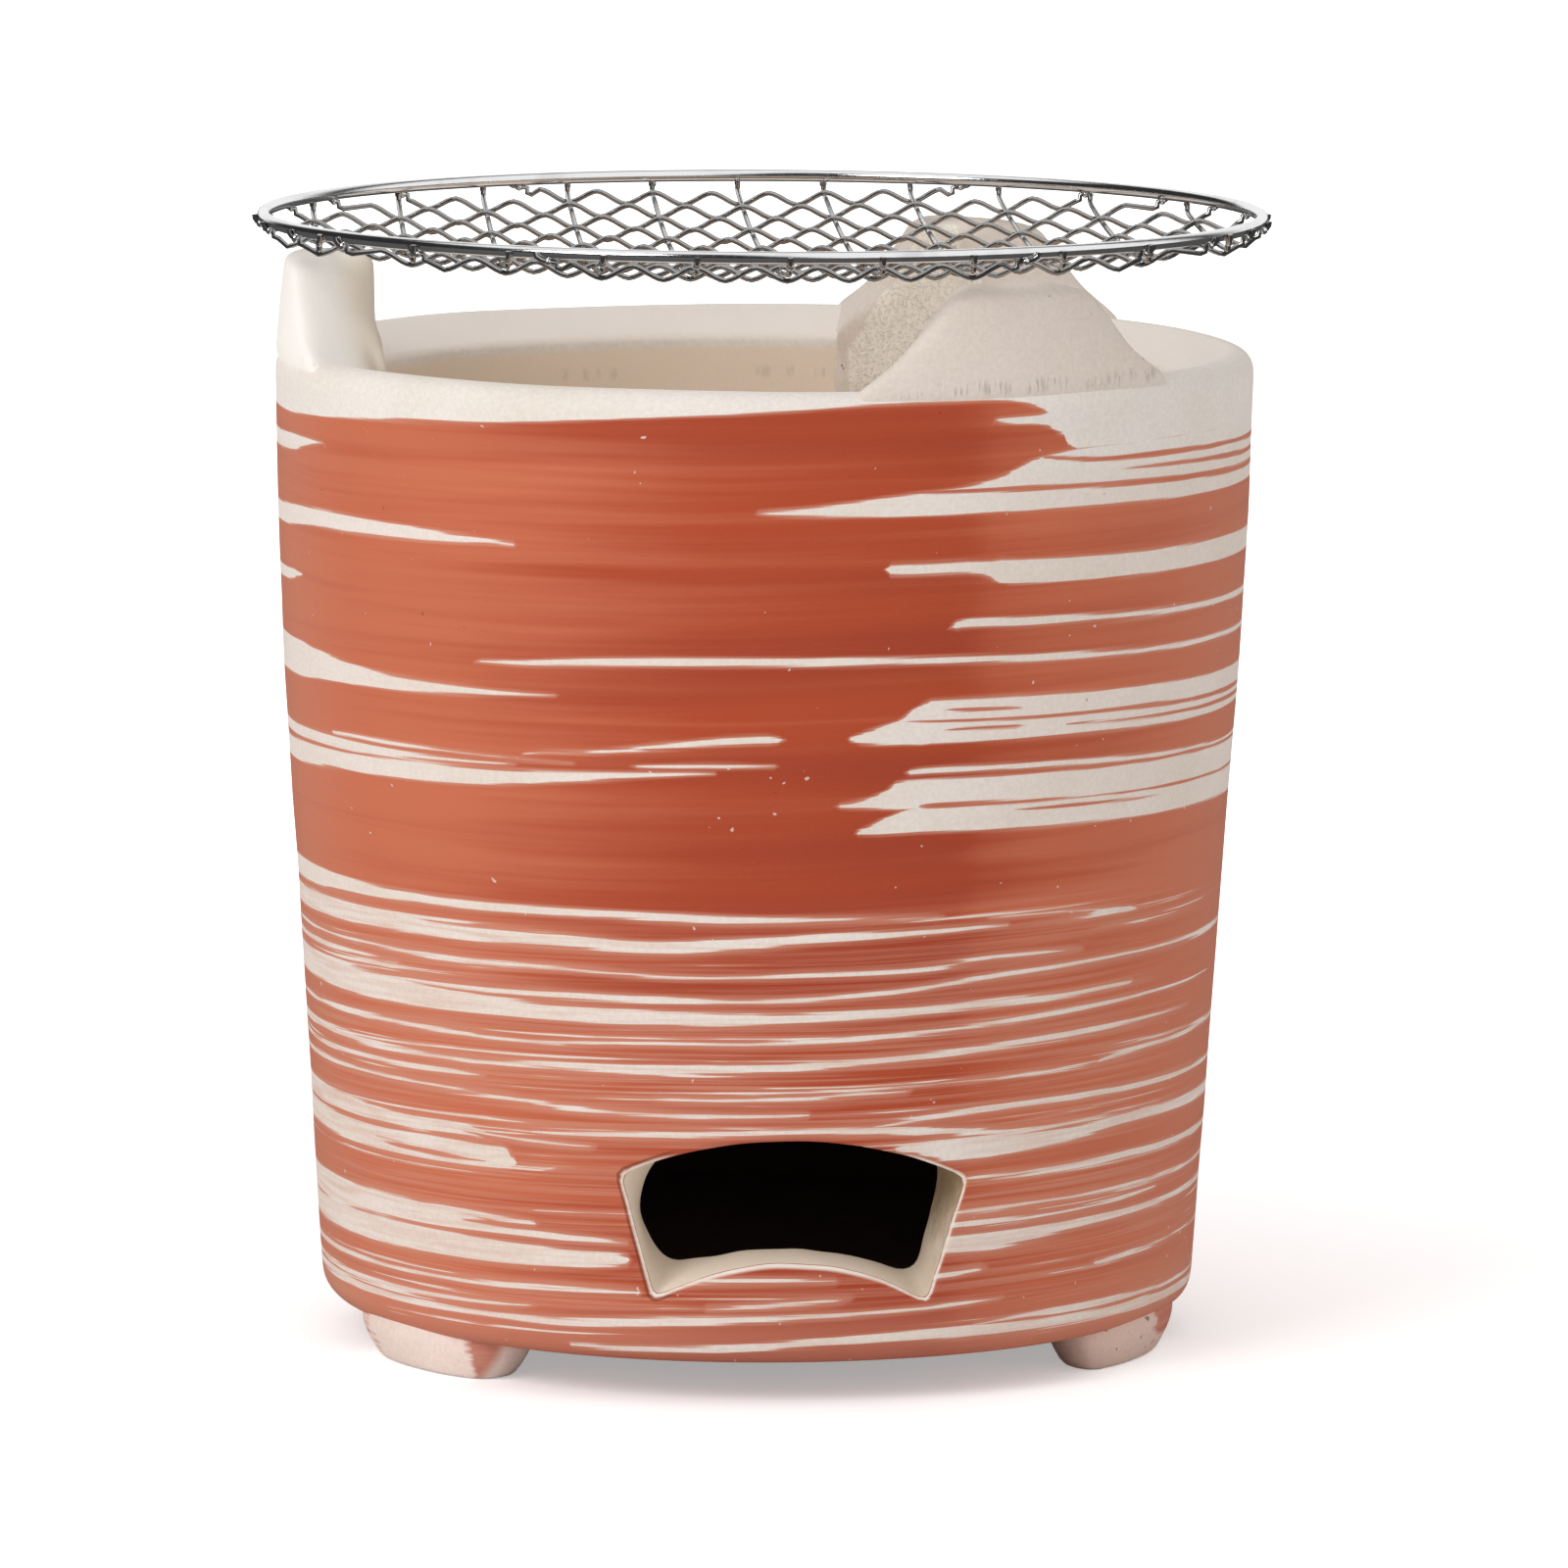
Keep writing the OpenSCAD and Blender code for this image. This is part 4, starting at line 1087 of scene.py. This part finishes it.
# %% Groups that lay one brush mark
def follow(turn, points, low, high):
    """A value that follows (degrees, value) points round the pot, drawn as a curve."""
    made = put(turn.tree, "ShaderNodeFloatCurve")
    mapping = made.mapping
    mapping.extend = "HORIZONTAL"
    line = mapping.curves[0]
    for number, (degrees, value) in enumerate(points):
        place = ((degrees + 180.0) / 360.0, (value - low) / (high - low))
        if number < 2:
            line.points[number].location = place
        else:
            line.points.new(*place)
    for point in line.points:
        point.handle_type = "AUTO_CLAMPED"
    mapping.update()
    turn.to(made.inputs["Value"])
    return Signal(turn.tree, made.outputs[0]).times_plus(high - low, low)

FAR_OUTSIDE = -20.0
given = {"Height": 0.0, "Middle": 0.0, "Width": 0.0, "Deepest": FAR_OUTSIDE, "Turn": 0.0}
mark_group, given, out = new_group("brush mark", given, ("Deepest", "Turn"))
away = (given["Height"] - given["Middle"]).by("ABSOLUTE")
deepest = given["Deepest"].most(given["Width"].times_plus(0.5, away * -1.0))
deepest.to(out["Deepest"])
deepest.times_plus(0.0, given["Turn"]).to(out["Turn"])

def run_out(mark):
    """A mark that starts wide on the far side gets a point more, where it runs out."""
    turn, height, width = mark[0]
    if width > 0.0 and turn < -70.0:
        return ((max(turn - 24.0, -177.0), height, 0.0), *mark)
    return mark

def share_curves(marks, apart=5.0):
    """Rows of marks that don't meet round the pot, so that each row needs only one pair of curves."""
    rows_of_marks = []
    for mark in sorted(map(run_out, marks), key=lambda m: m[0][0]):
        free = [row for row in rows_of_marks if row[-1][-1][0] + apart < mark[0][0]]
        if free:
            min(free, key=lambda row: abs(row[-1][-1][1] - mark[0][1])).append(mark)
        else:
            rows_of_marks.append([mark])
    return rows_of_marks

def lay_marks(turn, height, marks):
    """How deep a place lies inside the nearest of these marks, in millimetres; under 0 is outside."""
    deepest = FAR_OUTSIDE
    for row in share_curves(marks):
        heights = [(t, h) for mark in row for t, h, w in mark]
        widths = []
        for mark in row:
            body = [(t, w) for t, h, w in mark]
            widths += [(mark[0][0] - 1.5, -7.0), *body, (mark[-1][0] + 1.5, -7.0)]
        middle = follow(turn, heights, 0.0, HIGHEST)
        width = follow(turn, widths, -WIDEST, WIDEST)
        handed_on = {"Height": height, "Deepest": deepest, "Turn": turn}
        laid = use_group(turn.tree, mark_group, Middle=middle, Width=width, **handed_on)
        deepest, turn = laid["Deepest"], laid["Turn"]
    return deepest, turn

SLIP_OUT = ("Bare", "Bristle", "Fleck", "Broad", "Bands", "Dry", "Thin")
slip_group, given, out = new_group("slip marks", {}, SLIP_OUT)
spot = use_group(slip_group, place_group)
streaks = use_group(slip_group, bristle_group, Height=spot["Brush height"])
part_turn = spot["Turn"].times_plus(1.0 / 360.0, 0.5)
shaky = streaks["Broad"].times_plus(1.6, spot["Height"] + -0.8)
bare_marks, part_turn = lay_marks(part_turn, shaky, BARE_MARKS)
red_marks, part_turn = lay_marks(part_turn, shaky, RED_MARKS)
over_top = shaky - follow(part_turn, SLIP_TOP, 0.0, HIGHEST)
dry = spot["Brush height"].fade(108.0, 121.0, 1.0, 0.0) * streaks["Bands"].fade(0.30, 0.62, 0.45, 1.0)
limit = dry.times_plus(-0.165, 0.76)
loose = (streaks["Fine"].times_plus(0.6, streaks["Broad"] * 0.4) - limit) * 14.0
opened = bare_marks.most(over_top).most(loose)
closed = opened.least(red_marks * -1.0)
frayed = (streaks["Fine"] - 0.5).times_plus(dry.times_plus(1.0, 1.9), closed)
frayed = (streaks["Fleck"] - 0.5).times_plus(dry.times_plus(0.7, 0.6), frayed)
thin = follow(part_turn, SLIP_TONE, 0.0, 1.0)
kept = [streaks[kind] for kind in ("Fine", "Fleck", "Broad", "Bands")]
for label, value in zip(SLIP_OUT, (frayed, *kept, dry, thin)):
    value.to(out[label])
print("slip group:", len(slip_group.nodes), "nodes")

# %% [markdown]
# Each finish ends in one Principled shader, which gets its colour, its roughness and a relief as a
# bump. The body's piece also carries point attributes, which its finish reads by name.

# %% Dress a shader
def new_material(name):
    """A material with its tree and its Principled shader."""
    made = bpy.data.materials.new(name)
    made.use_nodes = True
    return made, made.node_tree, made.node_tree.nodes["Principled BSDF"]

def attribute(tree, name):
    """A point attribute of the piece."""
    return outputs_of(tree, "ShaderNodeAttribute", attribute_name=name)["Fac"]

def dress(shader, colour, rough, relief, mirror=0.5):
    """Gives a shader its colour, roughness, mirror strength and, as a bump, a relief in millimetres."""
    tree = relief.tree
    feed(tree, shader.inputs["Base Color"], colour)
    feed(tree, shader.inputs["Roughness"], rough)
    feed(tree, shader.inputs["Specular IOR Level"], mirror)
    bump = put(tree, "ShaderNodeBump")
    feed(tree, bump.inputs["Strength"], 1.0)
    feed(tree, bump.inputs["Distance"], MM)
    feed(tree, bump.inputs["Height"], relief)
    Signal(tree, bump.outputs[0]).to(shader.inputs["Normal"])

print("point attributes:", [a.name for a in stove_body.data.attributes if a.domain == "POINT"])

# %% [markdown]
# Three tones make the slip look brushed and not printed: a deep terracotta where it lies thick, a
# lighter orange where it ran, and a thin pink film where the brush was nearly dry and along the
# edges of the bare gaps. The brush's bristles left shallow grooves in slip and clay alike, so the
# bump is made from the bristles and the clay alone, which also keeps the marks out of its sums.

# %% The slipped clay of the body
CUT_SHADE_TOP = 0.062
INTERIOR_SHADE_TOP = 0.112
TOOL_LINE = 0.2214
SLOPE_LOW = 0.2285
SIDE_PAINTED_LIGHT = 0.32
LOW_PALER = 0.40
SLIP = (0.475, 0.066, 0.018)
SLIP_DEEP = (0.39, 0.046, 0.014)
SLIP_LIGHT = (0.64, 0.165, 0.078)
SLIP_THIN = (0.68, 0.31, 0.21)
SLIP_STAIN = (0.66, 0.33, 0.22)
CLAY = (0.88, 0.805, 0.735)
CLAY_WARM = (0.78, 0.68, 0.56)
CUT_CLAY = (0.99, 0.85, 0.70)
CUT_SHADED = (0.37, 0.25, 0.13)
BURR_CLAY = (0.95, 0.87, 0.76)
INNER_SHADED_CLAY = (0.90, 0.73, 0.56)
SLOPE_CLAY = (0.96, 0.865, 0.785)
TOOL_MARK = (0.34, 0.25, 0.17)
INTERIOR_SHADE_DARK = (0.055, 0.027, 0.02)
BURR_SHADOW_DARK = (0.13, 0.03, 0.012)

slipped_clay, tree, shader = new_material("slipped clay")
clay = use_group(tree, clay_group, Clay=CLAY, Warm=CLAY_WARM, Pits=0.12)
slip = use_group(tree, slip_group)
spot = use_group(tree, place_group)
brushed = use_group(tree, bristle_group, Height=spot["Brush height"])
here = place_of(tree)
x, y, z = axes_of(tree)
skin = attribute(tree, "slipped").fade(0.35, 0.65)
cut = attribute(tree, "cut_face").fade(0.3, 0.7)
burr = attribute(tree, "burr")

specks = here.noise(430.0, 1.0, 0.5).fade(0.78, 0.80)
gap = slip["Bare"].fade(-0.12, 0.25).most(specks * 0.6)
tone = slip["Thin"] + (slip["Broad"] - 0.5) * 1.5
red = tone.fade(0.0, 1.0).blend(SLIP, SLIP_LIGHT)
deep_part = slip["Bands"].fade(0.62, 0.34) * (1.0 - slip["Thin"])
red = (deep_part * 0.8).blend(red, SLIP_DEEP)
near_edge = slip["Bare"].fade(slip["Dry"].times_plus(-1.5, -1.0), 0.1)
dry_film = slip["Dry"] * slip["Bristle"].fade(0.40, 0.62)
film = (near_edge * 0.62).most(dry_film * 0.5)
# Painted light: the slip is painted paler and pinker towards both sides of the pot's face. It is also made
# paler near the base.
paler_sides_and_base = spot["Turn"].fade(35.0, 76.0, 0.0, SIDE_PAINTED_LIGHT) + spot["Turn"].fade(-82.0, -58.0, SIDE_PAINTED_LIGHT, 0.0)
paler_sides_and_base = paler_sides_and_base + spot["Height"].fade(14.0, 27.0, LOW_PALER, 0.0)
red = film.most(paler_sides_and_base).blend(red, SLIP_THIN)

inside = (1.0 - skin) * z.fade(0.2265, SLOPE_LOW, 1.0, 0.0)
slope = z.fade(SLOPE_LOW, 0.2305) * from_axis(x, y).fade(0.110, 0.1135, 1.0, 0.0)
bare = (slope * 0.8).blend(clay["Color"], SLOPE_CLAY)
# Painted shade: the bare clay of the inner wall is painted darker and warmer than outside, for the shade
# inside the pot.
bare = (inside * 0.8).blend(bare, INNER_SHADED_CLAY)
# Painted shade: inside the pot, below the grate's ledge, the bare clay is painted almost black for the shade
# in there.
bare = (inside * z.fade(0.10, INTERIOR_SHADE_TOP, 1.0, 0.0)).blend(bare, INTERIOR_SHADE_DARK)
# Painted shade: the door's right cut face is painted darker towards its top, where it faces away from the
# lamp.
cut_shade = here.noise(160.0, 2.0, 0.6).times_plus(0.02, z).fade(0.040, CUT_SHADE_TOP, 0.25, 0.92)
cut_shade = cut_shade * x.fade(0.018, 0.032)
bare = cut.blend(bare, cut_shade.blend(CUT_CLAY, CUT_SHADED))
burr_mask = burr.fade(0.72, 0.92) * z.fade(0.0575, 0.0600, 1.0, 0.0)
bare = burr_mask.blend(bare, BURR_CLAY)
tool_marks = (z - TOOL_LINE).by("ABSOLUTE").fade(0.0005, 0.0022, 1.0, 0.0) * y.fade(0.02, 0.05)
tool_marks = tool_marks * stretched(tree, 800.0, 110.0).noise(1.0, 2.0, 0.6).fade(0.50, 0.62)
tool_marks = tool_marks * here.noise(60.0, 1.0).fade(0.46, 0.56) * inside
bare = (tool_marks * 0.2).blend(bare, TOOL_MARK)
below_top = skin * z.fade(0.212, 0.222, 1.0, 0.0)
stain = below_top * slip["Thin"].times_plus(0.07, slip["Bristle"] * 0.12)
stain = (slip["Dry"] * below_top).times_plus(slip["Fleck"].fade(0.62, 0.36) * 0.32, stain)
bare = stain.blend(bare, SLIP_STAIN)

# Painted shadow: a thin dark line is painted just outside the burr on the left of the door, for the shadow
# the raised burr casts.
burr_shadow = burr.fade(0.52, 0.64) * burr.fade(0.70, 0.80, 1.0, 0.0) * skin * x.fade(-0.030, -0.026, 0.6, 0.0)
covered = (1.0 - gap) * skin * (1.0 - burr_mask.most(slope))
dressed = burr_shadow.blend(covered.blend(bare, red), BURR_SHADOW_DARK)
grooves = brushed["Fine"] * skin * 0.10
relief = grooves + cut.times_plus(clay["Relief"], clay["Relief"])
dress(shader, dressed, covered.fade(0.0, 1.0, 0.86, 0.62), relief, 0.35)
stove_body.data.materials.append(slipped_clay)
print("slipped clay:", len(tree.nodes), "nodes")

# %% [markdown]
# The lugs are the same pale clay without slip. Where a lug was pressed onto the rim, its seam shows
# as a row of small dark nicks, and its inside was left rough from the tool, with a sandy speckle.

# %% Pale clay of the lugs
LUG_CLAY = (0.80, 0.70, 0.62)
LUG_WARM = (0.76, 0.63, 0.52)
LUG_PAINTED_LIT = (0.99, 0.93, 0.865)
LUG_INNER_SHADE = (0.84, 0.71, 0.55)
LUG_ROUGH_AND_LIT = (1.0, 0.92, 0.81)
SAND_DARK = (0.50, 0.38, 0.25)
NICK_DARK = (0.36, 0.29, 0.23)
SEAM_Z = 235.9

white_clay, tree, shader = new_material("white clay")
clay = use_group(tree, clay_group, Clay=LUG_CLAY, Warm=LUG_WARM, Pits=0.5)
spot = use_group(tree, place_group)
here = place_of(tree)
x, y, z = axes_of(tree)
radius = from_axis(x, y)
rough_part = (attribute(tree, "rough") + (here.noise(140.0) - 0.5) * 0.8).fade(0.2, 0.7)
sand_marks = here.noise(1300.0, 3.0, 0.7).fade(0.46, 0.70) * rough_part
# Painted light: the left lug, which faces the lamp, is painted near white. Its inner part, turned away from
# the lamp, is painted a darker tan as painted shade.
painted_left_light = x.fade(-0.06, -0.02, 1.0, 0.0)
colour = painted_left_light.blend(clay["Color"], LUG_PAINTED_LIT)
colour = (painted_left_light * radius.fade(0.096, 0.108, 0.6, 0.0)).blend(colour, LUG_INNER_SHADE)
# The rough inner faces are painted lighter. The rough tooling is real; the lighter colour is partly painted
# light that lifts the shade on them.
colour = (rough_part * 0.9).blend(colour, LUG_ROUGH_AND_LIT)
colour = (sand_marks * 0.16).blend(colour, SAND_DARK)
from_seam = (spot["Height"] - here.noise(45.0, 1.0).times_plus(3.0, SEAM_Z)).by("ABSOLUTE")
nicks = stretched(tree, 1000.0, 110.0).noise(1.0, 2.0, 0.6).fade(0.50, 0.64)
nicks = from_seam.fade(0.6, 2.4, 1.0, 0.0) * nicks
nicks = nicks * here.noise(120.0, 1.0).fade(0.40, 0.58) * radius.fade(0.110, 0.112)
nicks = nicks * y.fade(-0.06, -0.03, 1.0, 0.3)
colour = (nicks * 0.22).blend(colour, NICK_DARK)
dress(shader, colour, 0.86, (nicks + sand_marks * 0.5).times_plus(-0.3, clay["Relief"]), 0.3)
print("lug finish:", white_clay.name, "with", len(tree.nodes), "nodes")

# %% [markdown]
# The feet are a warmer clay. They were touched by the brush when the base was slipped, so they carry
# smears of red, most of them on their outer faces and at some places round the pot more than others.

# %% Clay of the feet
FOOT_LIT = (0.95, 0.79, 0.71)
FOOT_SHADED = (0.80, 0.59, 0.50)
FOOT_WARM = (0.70, 0.52, 0.42)
FOOT_SMEARS = (
    (-180, 0.0), (-90, 0.0), (-76, 0.16), (-71, 0.22), (-66, 0.12), (-61, -0.1), (-50, -0.1), (-48, 0.16),
    (-46.5, 0.36), (-42, 0.36), (-36, 0.2), (40, 0.0), (57, 0.02), (63, 0.2), (70, 0.34), (92, 0.34),
    (120, 0.1), (180, 0.0),
)
foot_clay, tree, shader = new_material("foot clay")
here = place_of(tree)
x, y, z = axes_of(tree)
# Painted light and shade: the feet on the left, towards the lamp, are painted a lighter clay and those on the
# right a darker one.
lit_and_shaded_clay = x.fade(-0.04, 0.04).blend(FOOT_LIT, FOOT_SHADED)
clay = use_group(tree, clay_group, Clay=lit_and_shaded_clay, Warm=FOOT_WARM, Pits=0.8)
spot = use_group(tree, place_group)
streaks = use_group(tree, bristle_group, Height=spot["Brush height"])
daubs = here.noise(60.0, 2.0, 0.6) * 0.6 + streaks["Fine"] * 0.25
daubs = daubs + follow(spot["Turn"].times_plus(1.0 / 360.0, 0.5), FOOT_SMEARS, -0.5, 1.0)
upper = x.fade(0.0, 0.04) * z.fade(0.0035, 0.0065, 0.2, 0.0)
smear = (daubs - upper).fade(0.60, 0.70) * from_axis(x, y).fade(0.0945, 0.0975)
red = streaks["Fine"].blend(SLIP, SLIP_THIN)
dress(shader, (smear * 0.9).blend(clay["Color"], red), 0.8, smear.times_plus(0.1, clay["Relief"]), 0.3)
for piece in bpy.data.objects:
    if piece.name.startswith("clay_lug_"):
        piece.data.materials.append(white_clay)
    elif piece.name.startswith("clay_foot_"):
        piece.data.materials.append(foot_clay)
print("clay materials:", white_clay.name, foot_clay.name)

# %% [markdown]
# The fire grate keeps its solid, because a pressed disc with drilled holes is exactly that. It is a
# coarser, greyer clay with grog in it, so it gets larger grains and deeper pits than the pot.

# %% Coarse clay of the fire grate
GRATE_CLAY = (0.56, 0.47, 0.38)
GRATE_WARM = (0.45, 0.35, 0.27)
GROG = (0.70, 0.63, 0.54)
grate_clay, tree, shader = new_material("grate clay")
clay = use_group(tree, clay_group, Clay=GRATE_CLAY, Warm=GRATE_WARM, Pits=1.0)
here = place_of(tree)
lumps_of_grog = put(tree, "ShaderNodeTexVoronoi", feature="F1")
here.to(lumps_of_grog.inputs["Vector"])
lumps_of_grog.inputs["Scale"].default_value = 420.0
near_lump = Signal(tree, lumps_of_grog.outputs["Distance"]).fade(0.28, 0.12)
grog = near_lump * here.noise(160.0, 1.0).fade(0.50, 0.60)
dress(shader, (grog * 0.6).blend(clay["Color"], GROG), 0.92, grog.times_plus(0.25, clay["Relief"] * 1.8), 0.2)
grate = frame["nodes"]["fire_grate"]
grate.data.materials.clear()
grate.data.materials.append(grate_clay)
print("grate finish on", grate.name)

# %% [markdown]
# The net is bright plated steel. What makes it read as metal is what it mirrors: white above, the
# dark band low down, and the bright screen. Its surface only needs slow changes of roughness, fine
# drawing lines and a little grey where it has tarnished.

# %% Bright wire
PLATED = (0.66, 0.66, 0.67)
TARNISHED = (0.50, 0.49, 0.48)
METAL_OUT = ("Color", "Roughness", "Relief")
metal_group, given, out = new_group("bright steel", {"Steel": PLATED, "Dull": 0.12}, METAL_OUT)
here = place_of(metal_group)
scratch = here.noise(700.0, 2.0, 0.6)
tarnish = here.noise(60.0, 3.0, 0.6).fade(0.5, 0.75)
(tarnish * 0.5).blend(given["Steel"], TARNISHED).to(out["Color"])
(given["Dull"] + scratch * 0.16).to(out["Roughness"])
(scratch * 0.012).to(out["Relief"])

def bright_material(name, steel, dull):
    """A plated steel finish with its own brightness and dullness."""
    made, tree, shader = new_material(name)
    metal = use_group(tree, metal_group, Steel=steel, Dull=dull)
    dress(shader, metal["Color"], metal["Roughness"], metal["Relief"])
    shader.inputs["Metallic"].default_value = 1.0
    return made

ring_rod = bright_material("ring rod", (0.90, 0.90, 0.91), 0.05)
# Painted shade: the wires get a steel colour far darker than the ring's, standing in for the dark they
# mirror.
dark_painted_wire = bright_material("net wire", (0.40, 0.395, 0.39), 0.06)
net_ring.data.materials.append(ring_rod)
for bent in wire_objects:
    bent.data.materials.append(dark_painted_wire)
print("metal on", len(wire_objects) + 1, "pieces")

# %% [markdown]
# The dressed stove should agree with the solid one's box within a few millimetres, because the
# dressing may change the surface and never the size.
